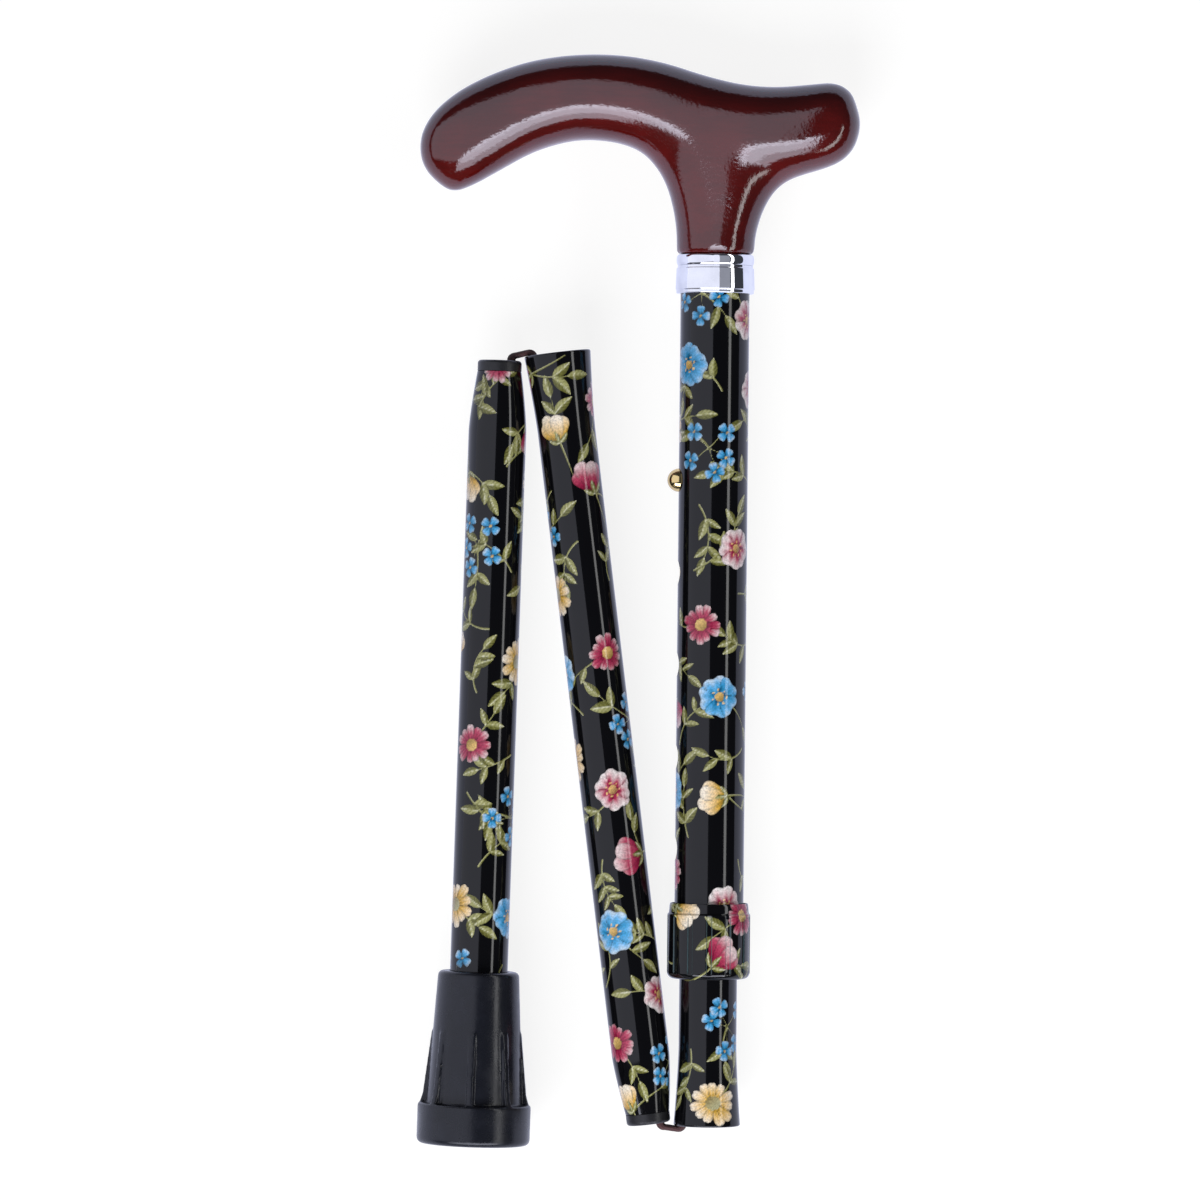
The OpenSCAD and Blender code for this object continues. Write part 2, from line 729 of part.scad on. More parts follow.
module ferrule() {
    color("black")
        in_lower()
            translate([0, 0, ferrule_top])
                difference() {
                    union() {
                        rotate_extrude()
                            polygon(concat([[0, 0]],
                                [for (i = [0:round_steps]) [rim_r - rim_round, 0] + quarter(rim_round, i)],
                                [[rim_r + cone_grow, band_top], [foot_r - band_edge, band_top],
                                    [foot_r, band_top + band_edge]],
                                [for (i = [round_steps:-1:0])
                                    [foot_r - foot_round, ferrule_len] + flipped(quarter(foot_round, i))],
                                [[0, ferrule_len]]));
                        for (i = [0:rib_count - 1])
                            rotate([0, 0, 360 * (i + rib_turn) / rib_count])
                                rotate([90, 0, 0])
                                    translate([0, 0, -rib_w / 2])
                                        linear_extrude(rib_w)
                                            polygon(rib_side());
                    }
                    translate([0, 0, -cut])
                        cylinder(r = lower_r + press_gap, h = bore_depth + washer_t + cut);
                    translate([0, 0, ferrule_len - groove_deep])
                        ring_shape(groove_r + groove_w / 2, groove_r - groove_w / 2, groove_deep + cut);
                    translate([0, 0, ferrule_len - groove_deep])
                        ring_shape(tread_r + groove_w / 2, tread_r - groove_w / 2, groove_deep + cut);
                }
}

module ferrule_washer() {
    color("silver")
        in_lower()
            translate([0, 0, lower_tube_len + press_gap])
                cylinder(r = lower_r - press_gap, h = washer_t - 2 * press_gap);
}

handle();
handle_tenon();
handle_screw();
collar();
upper_tube();
threaded_sleeve();
clamp_collet();
locking_ring();
inner_tube();
guide_bush();
snap_button();
button_spring();
cord_anchor_upper();
cord_knot_upper();
cord_upper();
cord_loop_upper();
middle_tube();
middle_plug();
cord_middle();
cord_loop_lower();
lower_tube();
lower_plug();
cord_lower();
cord_anchor_lower();
cord_knot_lower();
ferrule();
ferrule_washer();
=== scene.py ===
"""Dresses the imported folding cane: printed tubes, lacquered grip, chrome, brass, rubber and elastic."""

import json
import math
import random

import bmesh
import bpy
import numpy as np
from bpy.props import FloatProperty, FloatVectorProperty, IntProperty, PointerProperty
from mathutils import Matrix, Vector

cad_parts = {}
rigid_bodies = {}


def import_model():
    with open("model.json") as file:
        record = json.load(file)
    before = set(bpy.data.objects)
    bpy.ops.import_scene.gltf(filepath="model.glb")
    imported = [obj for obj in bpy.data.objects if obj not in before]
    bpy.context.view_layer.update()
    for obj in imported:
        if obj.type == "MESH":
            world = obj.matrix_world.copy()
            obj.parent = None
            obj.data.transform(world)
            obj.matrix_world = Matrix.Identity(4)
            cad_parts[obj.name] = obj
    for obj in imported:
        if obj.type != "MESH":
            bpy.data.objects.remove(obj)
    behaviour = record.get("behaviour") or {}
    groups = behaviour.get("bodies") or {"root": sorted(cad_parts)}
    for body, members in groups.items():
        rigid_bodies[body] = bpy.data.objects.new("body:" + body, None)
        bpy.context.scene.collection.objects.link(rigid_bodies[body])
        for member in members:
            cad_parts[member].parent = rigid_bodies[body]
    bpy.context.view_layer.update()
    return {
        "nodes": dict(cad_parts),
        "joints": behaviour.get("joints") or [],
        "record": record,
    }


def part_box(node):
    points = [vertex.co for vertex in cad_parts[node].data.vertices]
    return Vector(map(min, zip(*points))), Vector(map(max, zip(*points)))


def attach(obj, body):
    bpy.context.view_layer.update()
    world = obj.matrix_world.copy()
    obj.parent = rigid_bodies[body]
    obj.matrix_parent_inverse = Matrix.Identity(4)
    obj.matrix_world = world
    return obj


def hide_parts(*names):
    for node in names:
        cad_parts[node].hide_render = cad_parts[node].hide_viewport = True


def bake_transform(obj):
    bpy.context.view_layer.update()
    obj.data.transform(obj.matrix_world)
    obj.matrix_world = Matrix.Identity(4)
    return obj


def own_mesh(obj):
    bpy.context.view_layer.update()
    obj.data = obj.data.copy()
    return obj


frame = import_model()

bl_info = {
    "name": "Folding Cane Finishes",
    "version": (1, 0, 0),
    "blender": (4, 5, 0),
    "location": "View3D > Sidebar > Cane",
    "description": "Builds the visible pieces of a half-folded cane on its CAD frame, and the stage",
    "category": "Object",
}

UP = Vector((0, 0, 1))
MM = 0.001


# Sizes and colours


def length(name, text, default):
    return FloatProperty(name=name, description=text, default=default, unit="LENGTH", precision=5)


def share(name, text, default):
    return FloatProperty(name=name, description=text, default=default, min=0, max=1, subtype="FACTOR")


def brightness(name, text, default):
    return FloatProperty(name=name, description=text, default=default, min=0)


def colour(name, text, default):
    return FloatVectorProperty(
        name=name, description=text, default=default, size=3, min=0, max=1, subtype="COLOR")


class CaneSizes(bpy.types.PropertyGroup):
    """Sizes of the turned pieces, as in the part's source."""

    tube_r: length("Tube radius", "Outside radius of the inner, middle and lower tubes", 0.00795)
    tube_wall: length("Tube wall", "Wall of the inner, middle and lower tubes", 0.001)
    upper_r: length("Upper tube radius", "Outside radius of the upper tube", 0.0095)
    upper_wall: length("Upper tube wall", "Wall of the upper tube", 0.0012)
    flare: length("Flare", "Radius added at a socket's mouth", 0.00125)
    flare_len: length("Flare length", "Length of a socket's flare", 0.022)
    shrink: length("Spigot shrink", "Radius lost at a spigot's end", 0.00189)
    taper_end: length("Taper end", "Distance from a spigot's end to the tube's full radius", 0.0195)
    cap: length("Plug cap", "Length of the plastic cap on a spigot", 0.003)
    hole_r: length("Hole radius", "Radius of an adjusting hole", 0.00335)
    hole_pitch: length("Hole pitch", "Spacing of the adjusting holes", 0.0254)
    hole_count: IntProperty(name="Holes", description="Number of adjusting holes", default=5, min=1)
    ring_r: length("Ring radius", "Outside radius of the locking ring", 0.0114)
    flute_w: length("Flute width", "Width of a flute on the ring", 0.0015)
    flute_depth: length("Flute depth", "Depth of a flute on the ring", 0.00045)
    flutes: IntProperty(name="Flutes", description="Number of flutes on the ring", default=13, min=1)
    collar_r: length("Collar radius", "Outside radius of the collar", 0.0109)
    cord_r: length("Cord radius", "Radius of the elastic cord", 0.0012)


class CanePrint(bpy.types.PropertyGroup):
    """The floral print on the tubes and the ring."""

    grid: length("Grid", "Spacing of the printed points on a tube", 0.00036)
    bloom: length("Bloom size", "Width of a full bloom", 0.0118)
    spacing: length("Spacing", "Least distance between blooms", 0.0166)
    seed: IntProperty(name="Seed", description="Start of the print's layout", default=5)
    ground: colour("Ground", "Colour between the flowers", (0.003, 0.003, 0.004))
    blue: colour("Blue", "Body of the blue blooms", (0.045, 0.42, 0.86))
    pink: colour("Pink", "Body of the pink blooms", (0.52, 0.022, 0.10))
    gold: colour("Gold", "Body of the yellow blooms", (0.80, 0.47, 0.055))
    leaf: colour("Leaf", "Body of the leaves", (0.25, 0.25, 0.060))


class CaneFinish(bpy.types.PropertyGroup):
    """Colours and gloss of the other finishes."""

    wood: colour("Wood", "Stain of the grip where light falls through the lacquer", (0.118, 0.0055, 0.0048))
    wood_dark: colour("Dark wood", "Stain of the grip along the grain", (0.082, 0.0046, 0.0036))
    chrome: colour("Chrome", "Colour of the collar", (0.86, 0.87, 0.90))
    brass: colour("Brass", "Colour of the button", (0.82, 0.62, 0.28))
    rubber: colour("Rubber", "Colour of the ferrule", (0.008, 0.009, 0.014))
    plastic: colour("Plastic", "Colour of the plugs and bushes", (0.012, 0.012, 0.014))
    elastic: colour("Elastic", "Colour of the cord's braid", (0.06, 0.018, 0.018))
    gloss: share("Gloss", "Roughness of the clear coat on tubes and grip", 0.07)


class CaneStage(bpy.types.PropertyGroup):
    """Camera, floor and lamps."""

    field: length("Field", "Width that the camera sees at the tubes", 0.33060)
    height: length("Camera height", "Height of the camera above the tubes", 2.066)
    centre_x: length("Centre X", "Middle of the view, across", -0.00985)
    centre_y: length("Centre Y", "Middle of the view, along", 0.00017)
    roll: FloatProperty(
        name="Roll", description="Turn of the camera", default=math.radians(0.578), subtype="ANGLE")
    panel: brightness("Panel", "Brightness of the broad lamps on the left and above", 1.1)
    strip: brightness("Strip", "Brightness of the narrow lamp on the right", 4.4)
    front: brightness("Front", "Brightness of the long lamp in front", 5.8)
    key: brightness("Key", "Brightness of the soft lamp that shapes the object", 6.3)
    fill: share("Fill", "Even light from all round", 0.08)


# Frames of the tubes


def point_values(mesh, key="co"):
    """The places of a mesh's points, or their normals, in rows of three."""
    values = np.empty(len(mesh.vertices) * 3)
    mesh.vertices.foreach_get(key, values)
    return values.reshape(-1, 3)


def joint(name):
    return next(j for j in frame["joints"] if j["name"] == name)


def axis_frame(name, along):
    """Place and length of a turned node: local Z runs along its axis from its first end, local X is up."""
    along = Vector(along).normalized()
    across = along.cross(UP)
    points = point_values(frame["nodes"][name].data)
    side = points @ np.array(across)
    reach = points @ np.array(along)
    middle_z = (points[:, 2].min() + points[:, 2].max()) / 2
    origin = across * ((side.min() + side.max()) / 2) + along * reach.min() + UP * middle_z
    turn = Matrix((UP, across, along)).transposed().to_4x4()
    return Matrix.Translation(origin) @ turn, reach.max() - reach.min()


def axis_ends(name, along):
    """The first and the last spot on a turned node's axis."""
    place, long = axis_frame(name, along)
    return place.translation, place @ Vector((0, 0, long))


UPWARD = Vector((0, 1, 0))
MIDDLE = -Vector(joint("lower_seat")["axis"])
LOWER = Vector(next(m for m in frame["record"]["mounts"] if m["name"] == "ferrule_sole")["axis"])
SHAFT = axis_frame("upper_tube", UPWARD)[0].translation


# Numbers


def unit(value):
    return min(1.0, max(0.0, value))


def smoothstep(value):
    t = unit(value)
    return t * t * (3 - 2 * t)


def wrapped(value, period):
    """A distance round a circle, by the shorter way."""
    return (value + period / 2) % period - period / 2


def polar(centre, reach, angle):
    return centre[0] + reach * math.cos(angle), centre[1] + reach * math.sin(angle)


def spread(start, end, step):
    """Evenly spaced values from start to end, no further apart than step."""
    count = max(1, math.ceil(abs(end - start) / step))
    return [start + (end - start) * i / count for i in range(count + 1)]


def arc(centre, radius, start, end, steps):
    """Points of an arc in the profile plane, angles in degrees."""
    turns = [math.radians(start + (end - start) * i / steps) for i in range(steps + 1)]
    return [polar(centre, radius, turn) for turn in turns]


# Mesh helpers

# An odd direction, so that no two places are level along it
SLANT = Vector((1.0, 0.7321, 0.4143))


def smoothed(mesh, crease=35):
    """Shades a mesh smooth, apart from edges sharper than the crease, in degrees."""
    mesh.shade_smooth()
    mesh.set_sharp_from_angle(angle=math.radians(crease))


def finish_mesh(bm, name, crease=35):
    mesh = bpy.data.meshes.new(name)
    bm.to_mesh(mesh)
    bm.free()
    smoothed(mesh, crease)
    piece = bpy.data.objects.new(name, mesh)
    bpy.context.scene.collection.objects.link(piece)
    return piece


def sort_faces(bm):
    """Sorts edges and faces by place, because spin and extrude leave them in another order each run."""
    bm.edges.sort(key=lambda edge: (edge.verts[0].co + edge.verts[1].co).dot(SLANT))
    bm.faces.sort(key=lambda face: face.calc_center_median().dot(SLANT))


def lathe(name, profile, place, steps, crease=35):
    """Spins a closed profile of (radius, height) points about Z and sets it in its place."""
    bm = bmesh.new()
    verts = [bm.verts.new((r, 0, h)) for r, h in profile]
    edges = [bm.edges.new(pair) for pair in zip(verts, verts[1:] + verts[:1])]
    bmesh.ops.spin(
        bm, geom=verts + edges, cent=(0, 0, 0), axis=UP, angle=math.tau, steps=steps, use_merge=True)
    bmesh.ops.remove_doubles(bm, verts=bm.verts, dist=1e-7)
    bm.verts.sort(key=lambda vert: vert.co.dot(SLANT))
    sort_faces(bm)
    bmesh.ops.recalc_face_normals(bm, faces=bm.faces)
    bm.transform(place)
    return finish_mesh(bm, name, crease)


def add_rod(bm, radius, long, segments, place):
    """Adds a capped rod along its place's Z, half of it to either side."""
    bmesh.ops.create_cone(
        bm, cap_ends=True, segments=segments, radius1=radius, radius2=radius, depth=long, matrix=place)


def applied(piece):
    """Bakes the piece's modifiers into its mesh."""
    graph = bpy.context.evaluated_depsgraph_get()
    mesh = bpy.data.meshes.new_from_object(piece.evaluated_get(graph))
    old = piece.data
    piece.modifiers.clear()
    piece.data = mesh
    mesh.name = piece.name
    bpy.data.meshes.remove(old)


def copied(node, name):
    """A merged copy of a CAD node, to be reworked."""
    bm = bmesh.new()
    bm.from_mesh(frame["nodes"][node].data)
    bmesh.ops.remove_doubles(bm, verts=bm.verts, dist=1e-6)
    return finish_mesh(bm, name)


def softened(piece, rounds, group=""):
    """Rounds a piece all over or within a group of points, and bakes its modifiers."""
    smooth = piece.modifiers.new("Rounding", "SMOOTH")
    smooth.factor = 0.5
    smooth.iterations = rounds
    smooth.vertex_group = group
    applied(piece)


def remeshed(piece, voxel, rounds):
    """Fuses a piece into an even skin of quads, then rounds its edges."""
    remesh = piece.modifiers.new("Skin", "REMESH")
    remesh.mode = "VOXEL"
    remesh.voxel_size = voxel
    remesh.use_smooth_shade = True
    softened(piece, rounds)
    piece.data.shade_smooth()


def keep_values(mesh, name, values):
    """Keeps a number for each point of a mesh, for its material to read."""
    kept = mesh.attributes.new(name, "FLOAT", "POINT")
    kept.data.foreach_set("value", np.asarray(values, np.float32))


def coat(mesh, material):
    mesh.materials.clear()
    mesh.materials.append(material)


def dress(piece, material, body, slot, *nodes):
    """Gives a new piece its material and its body, and hides the nodes it stands for. The slot is not used.
    """
    coat(piece.data, material)
    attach(piece, body)
    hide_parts(*nodes)


def coat_nodes(material, *nodes):
    """Gives CAD nodes that stay as they are a finish."""
    for name in nodes:
        coat(frame["nodes"][name].data, material)


# Shader helpers


GROUPS = {}
LAYERS = ("sprig", "bloom")


def feed(tree, socket, value):
    """Gives a socket its value, or links it to the socket that feeds it."""
    if isinstance(value, bpy.types.NodeSocket):
        tree.links.new(value, socket)
    else:
        socket.default_value = value


def add(tree, kind, inputs=None, **settings):
    """A shader node with its settings; an input is a value or the socket that feeds it."""
    node = tree.nodes.new("ShaderNode" + kind)
    for key, value in settings.items():
        setattr(node, key, value)
    for key, value in (inputs or {}).items():
        feed(tree, node.inputs[key], value)
    return node


def blend_colour(tree, factor, first, second):
    return add(tree, "Mix", {0: factor, 6: first, 7: second}, data_type="RGBA").outputs[2]


def shaded(tree, tint, level):
    return add(tree, "VectorMath", {0: tint, 1: level}, operation="MULTIPLY").outputs[0]


def maths(tree, operation, *values):
    return add(tree, "Math", dict(enumerate(values)), operation=operation).outputs[0]


def band(tree, value, low, high, out_low=0.0, out_high=1.0):
    """A smooth step from one level to another as a value goes from low to high."""
    ranges = {"Value": value, "From Min": low, "From Max": high, "To Min": out_low, "To Max": out_high}
    return add(tree, "MapRange", ranges, interpolation_type="SMOOTHSTEP").outputs[0]


def noise(tree, scale, detail, rough=0.5, spot=None):
    """Noise on the object's own coordinates, or on those given."""
    if spot is None:
        spot = add(tree, "TexCoord").outputs["Object"]
    inputs = {"Vector": spot, "Scale": scale, "Detail": detail, "Roughness": rough}
    return add(tree, "TexNoise", inputs).outputs[0]


def grain_streaks(tree, scale):
    """Streaks of wood grain, long on the axis whose scale is low."""
    spot = add(tree, "TexCoord").outputs["Object"]
    along = add(tree, "Mapping", {"Vector": spot, "Scale": scale}).outputs[0]
    return noise(tree, 1.0, detail=5.0, rough=0.6, spot=along)


def kept_value(tree, name, output="Fac"):
    """A number or colour that is kept on the mesh's points."""
    return add(tree, "Attribute", attribute_name=name).outputs[output]


def bump(tree, height, distance, strength=1.0):
    return add(tree, "Bump", {"Height": height, "Distance": distance, "Strength": strength}).outputs[0]


def rgba(values, scale=1.0):
    return (*(min(1.0, v * scale) for v in values), 1.0)


def new_group(name, output, kind, **inputs):
    """A shader node group with one output; returns it with its inside inputs and its inside output."""
    group = bpy.data.node_groups.new(name, "ShaderNodeTree")
    for label, default in inputs.items():
        given = "NodeSocketFloat" if isinstance(default, float) else "NodeSocketColor"
        group.interface.new_socket(label, in_out="INPUT", socket_type=given).default_value = default
    group.interface.new_socket(output, in_out="OUTPUT", socket_type=kind)
    inside = group.nodes.new("NodeGroupInput").outputs
    return group, inside, group.nodes.new("NodeGroupOutput").inputs[output]


def handled_gloss():
    """Uneven gloss of a handled surface."""
    group, given, put = new_group(
        "Handled Gloss", "Roughness", "NodeSocketFloat", Roughness=0.1, Spread=0.05, Scale=60.0)
    cloud = noise(group, given["Scale"], detail=4.0, rough=0.6)
    uneven = maths(group, "MULTIPLY", band(group, cloud, 0.35, 0.75), given["Spread"])
    feed(group, put, maths(group, "ADD", given["Roughness"], uneven))
    return group


def fine_grain():
    """Fine moulded grain as a height."""
    group, given, put = new_group("Fine Grain", "Height", "NodeSocketFloat", Scale=2500.0, Depth=1.0)
    speckle = noise(group, given["Scale"], detail=2.0, rough=0.6)
    feed(group, put, maths(group, "MULTIPLY", speckle, given["Depth"]))
    return group


def printed_film():
    """The printed film: sprigs under blooms, from the colours and edge distances on the mesh."""
    group, given, put = new_group(
        "Printed Film", "Color", "NodeSocketColor", Ground=(0, 0, 0, 1), Softness=0.06, Stroke=0.25)
    thin = maths(group, "SUBTRACT", 1.0, given["Stroke"])
    brush = noise(group, 1900.0, detail=4.0, rough=0.65)
    level = band(group, brush, 0.32, 0.68, thin, 1.2)
    less = maths(group, "MULTIPLY", given["Softness"], -1.0)
    film = given["Ground"]
    for layer in LAYERS:
        mask = band(group, kept_value(group, layer + "_edge"), less, given["Softness"])
        tint = kept_value(group, layer + "_tint", "Color")
        film = blend_colour(group, mask, film, shaded(group, tint, level))
    feed(group, put, film)
    return group


def place_group(tree, maker, **values):
    """The output of a node group that its maker builds once, placed with its own values."""
    if maker not in GROUPS:
        GROUPS[maker] = maker()
    return add(tree, "Group", values, node_tree=GROUPS[maker]).outputs[0]


def wire(tree, shader, **inputs):
    """Sets or feeds a shader's sockets, which are named with _ for a space."""
    for key, value in inputs.items():
        feed(tree, shader.inputs[key.replace("_", " ")], value)


def new_material(name, **values):
    """A material with one principled shader, whose plain values are set on its own sockets."""
    material = bpy.data.materials.new(name)
    material.use_nodes = True
    tree = material.node_tree
    shader = tree.nodes["Principled BSDF"]
    wire(tree, shader, **values)
    return material, tree, shader


# Materials


def printed_gloss(name, wall=None):
    """Floral film under a clear gloss coat; on the ring a pale tint on the flutes' walls is a painted
    highlight.
    """
    scene = bpy.context.scene
    material, tree, shader = new_material(name, IOR=1.43)
    film = place_group(tree, printed_film, Ground=rgba(scene.cane_print.ground))
    if wall:
        # The pale tint on the flutes' walls is a painted highlight
        film = blend_colour(tree, kept_value(tree, "flute_wall"), film, rgba(wall))
    gloss = place_group(tree, handled_gloss, Roughness=scene.cane_finish.gloss, Spread=0.04, Scale=45.0)
    wire(tree, shader, Base_Color=film, Roughness=gloss)
    return material


def lacquered_wood(finish):
    """Mahogany stain with a little grain under thick, slightly uneven lacquer."""
    material, tree, shader = new_material("lacquered_wood", IOR=1.65)
    streak = maths(tree, "MULTIPLY", grain_streaks(tree, (90.0, 900.0, 900.0)), 0.35)
    cloud = maths(tree, "MULTIPLY", noise(tree, 55.0, detail=2.0), 0.65)
    mask = band(tree, maths(tree, "ADD", streak, cloud), 0.38, 0.62)
    stain = blend_colour(tree, mask, rgba(finish.wood_dark), rgba(finish.wood))
    gloss = place_group(tree, handled_gloss, Roughness=finish.gloss * 1.4, Spread=0.03, Scale=70.0)
    peel = bump(tree, noise(tree, 1100.0, detail=2.0), distance=0.000055, strength=0.8)
    wire(tree, shader, Base_Color=stain, Roughness=gloss, Normal=peel)
    return material


def metal(name, base, rough, uneven, scale):
    """Bright metal with a little tarnish and uneven gloss."""
    material, tree, shader = new_material(name, Metallic=1.0)
    tarnish = band(tree, noise(tree, 180.0, detail=4.0), 0.3, 0.8)
    tint = blend_colour(tree, tarnish, rgba(base), rgba(base, 0.86))
    gloss = place_group(tree, handled_gloss, Roughness=rough, Spread=uneven, Scale=scale)
    wire(tree, shader, Base_Color=tint, Roughness=gloss)
    return material


def moulded(name, base, rough, grain, depth):
    """Moulded rubber or plastic with fine grain and handling marks."""
    material, tree, shader = new_material(name, IOR=1.42)
    dust = band(tree, noise(tree, 130.0, detail=5.0, rough=0.65), 0.45, 0.8)
    tint = blend_colour(tree, dust, rgba(base), rgba(base, 1.7))
    gloss = place_group(tree, handled_gloss, Roughness=rough, Spread=0.14, Scale=90.0)
    skin = bump(tree, place_group(tree, fine_grain, Scale=grain, Depth=depth), distance=0.00004)
    wire(tree, shader, Base_Color=tint, Roughness=gloss, Normal=skin)
    return material


def turned_beech():
    """Pale wood with open grain, bare of lacquer."""
    material, tree, shader = new_material("turned_beech", Roughness=0.6)
    streak = band(tree, grain_streaks(tree, (900.0, 60.0, 900.0)), 0.35, 0.7)
    tint = blend_colour(tree, streak, (0.52, 0.34, 0.19, 1), (0.34, 0.20, 0.10, 1))
    wire(tree, shader, Base_Color=tint, Normal=bump(tree, streak, distance=0.00005))
    return material


def braided_elastic(finish):
    """Braided sheath: painted highlight on the braid's crowns and painted shade in the grooves between
    them.
    """
    material, tree, shader = new_material("braided_elastic", Roughness=0.75, Sheen_Weight=0.25)
    fuzz = noise(tree, 5200.0, detail=3.0)
    strand = kept_value(tree, "strand")
    # Painted shade in the braid's grooves and painted highlight on its crowns
    crown = blend_colour(tree, strand, rgba(finish.elastic, 0.35), rgba(finish.elastic, 1.5))
    tint = shaded(tree, crown, band(tree, fuzz, 0.3, 0.7, 0.7, 1.2))
    wire(tree, shader, Base_Color=tint, Normal=bump(tree, fuzz, distance=0.00006))
    return material


# The print, in mm round the tube and along it


STEM_STEPS = 14
SPOT_TRIES = 700
# Edge distance where nothing is printed, and the furthest that is kept
UNPRINTED, FAR_EDGE = -9.0, 2.0
# Least share of a point's normal that faces outwards where a tube is printed
OUTWARD = 0.1
ROUND = dict(
    petals=5, jitter=0.1, reach=(0.92, 1.06), width=1.12, notch=0.1, tone=(-0.12, 0.1), core=0.11)
DAISY = dict(
    petals=11, jitter=0.08, reach=(0.85, 1.08), width=0.42, notch=0.04, tone=(-0.15, 0.12), core=0.15)
# Turn, length and tone of a bud's petals
BUD = ((0.5, 0.86, -0.2), (-0.5, 0.86, -0.12), (0.2, 1.0, 0.05), (-0.24, 0.9, 0.16))


def ramp(t, *colours):
    """Colours along a ramp of evenly spaced stops."""
    stops = np.linspace(0, 1, len(colours))
    table = np.array(colours)
    return np.stack([np.interp(t, stops, table[:, i]) for i in range(3)], axis=-1)


def shade(base, level, white=0.0):
    """A lighter or darker relative of a colour, washed with white."""
    return np.clip(np.array(base[:]) * level, 0, 1) * (1 - white) + white


def shades(base, *steps):
    return [shade(base, *step) for step in steps]


class Film:
    """A print in the making: each layer's colour and signed edge distance at each point of a tube."""

    def __init__(self, around, along, girth):
        self.order = np.argsort(along)
        self.u, self.v, self.girth = around[self.order], along[self.order], girth
        self.tint = {layer: np.zeros((len(around), 3)) for layer in LAYERS}
        self.edge = {layer: np.full(len(around), UNPRINTED) for layer in LAYERS}

    def near(self, centre, reach, angle=0.0):
        """Points within reach of a centre, in axes turned by angle."""
        rows = slice(*np.searchsorted(self.v, (centre[1] - reach, centre[1] + reach)))
        du = wrapped(self.u[rows] - centre[0], self.girth)
        dv = self.v[rows] - centre[1]
        near = np.nonzero(abs(du) < reach)[0]
        c, s = math.cos(angle), math.sin(angle)
        return self.order[rows][near], du[near] * c + dv[near] * s, dv[near] * c - du[near] * s

    def lay(self, layer, pick, edge, tint):
        old = self.edge[layer][pick]
        take = (edge > 0) | (edge > old)
        self.tint[layer][pick[take]] = tint[take]
        self.edge[layer][pick] = np.maximum(edge, old)


def lay_petal(film, centre, angle, size, width, notch, colours, tone, veins=0.13):
    """One petal that starts at the centre, with veins along it and a darker rim."""
    pick, x, y = film.near(centre, size * 1.3, angle)
    t = np.clip(x / size, 0, 1)
    half = width / 2 * 1.5 * t**0.75 * np.sqrt(np.clip(1 - t**4, 0, 1))
    tip = size * (1 - notch * np.exp(-((y / (0.22 * width)) ** 2))) - x
    edge = np.minimum(np.minimum(half - abs(y), tip), x + 0.2)
    vein = np.sin(y / (0.055 * width) * (1.25 - 0.5 * t)) * np.clip(1.3 - t, 0, 1)
    colour_at = np.clip(t + veins * vein + tone, 0, 1)
    rim = np.clip(edge / 0.4, 0, 1)[:, None]
    film.lay("bloom", pick, edge, ramp(colour_at, *colours) * (0.35 + 0.65 * rim))


def lay_disc(film, centre, radius, inner, outer):
    """A round heart or berry, lit from its upper left."""
    pick, x, y = film.near(centre, radius * 2.5)
    speck = 0.5 + 0.5 * np.sin(x * 9.0) * np.sin(y * 9.0)
    lit = np.clip(0.55 + 0.35 * (y - x) / radius, 0, 1) * 0.7 + speck * 0.3
    film.lay("bloom", pick, radius - np.hypot(x, y), ramp(lit, outer, inner))


def lay_leaf(film, base, angle, size, width, curl, colours, layer="sprig"):
    """A pointed leaf with a pale midrib, side veins and one half in shade."""
    pick, x, y = film.near(base, size * 1.3, angle)
    y = y - curl * x * (1 - x / size)
    t = np.clip(x / size, 0, 1)
    half = width / 2 * np.sin(math.pi * t**0.8) ** 0.9
    edge = np.minimum(np.minimum(half - abs(y), x), size - x)
    vein = 0.5 + 0.5 * np.sin((x - 1.1 * abs(y)) * 5.2)
    lit = np.where(y > 0, 0.62, 0.34) + 0.22 * (vein - 0.5) + 0.12 * (t - 0.5)
    lit = lit + 0.45 * np.exp(-((y / 0.16) ** 2)) - 0.25 * np.exp(-((edge / 0.2) ** 2))
    film.lay(layer, pick, edge, ramp(np.clip(lit, 0, 1), *colours))


def lay_stem(film, start, angle, size, bend, thick, colours):
    """A curved stem; returns its points and directions."""
    step = size / STEM_STEPS
    spots, way = [start], [angle]
    for i in range(STEM_STEPS):
        heading = angle + bend * (i + 0.5) / STEM_STEPS
        pick, x, y = film.near(spots[-1], step + 1.5, heading)
        edge = thick * (1 - 0.5 * i / STEM_STEPS) - np.hypot(x - np.clip(x, 0, step), y)
        film.lay("sprig", pick, edge, ramp(np.clip(0.5 + y / thick * 0.3, 0, 1), *colours))
        spots.append(polar(spots[-1], step, heading))
        way.append(heading)
    return spots, way


def lay_sprig(film, rng, start, angle, size, pairs, leaf_size, colours):
    """A stem with leaves to either side and one at its tip."""
    spots, way = lay_stem(film, start, angle, size, rng.uniform(-1.3, 1.3), 0.3, colours)
    for k in range(pairs):
        at = int((k + 1) * (STEM_STEPS - 1) / (pairs + 0.6)) + 1
        for side in (1, -1):
            if rng.random() < 0.78:
                turn = way[at] + side * rng.uniform(0.6, 1.1)
                long = leaf_size * rng.uniform(0.75, 1.1)
                wide = long * rng.uniform(0.36, 0.5)
                lay_leaf(film, spots[at], turn, long, wide, side * -0.12, colours)
    lay_leaf(film, spots[-1], way[-1], leaf_size, leaf_size * 0.42, rng.uniform(-0.15, 0.15), colours)


def lay_flower(film, rng, centre, size, colours, heart, petals, jitter, reach, width, notch, tone, core):
    """A bloom of petals, laid in a random order round its heart; returns how far it is turned."""
    turn = rng.uniform(0, math.tau)
    for k in rng.sample(range(petals), petals):
        angle = turn + math.tau * k / petals + rng.uniform(-jitter, jitter)
        long = size / 2 * rng.uniform(*reach)
        lay_petal(film, centre, angle, long, long * width, notch, colours, rng.uniform(*tone))
    lay_disc(film, centre, size * core, *heart)
    return turn


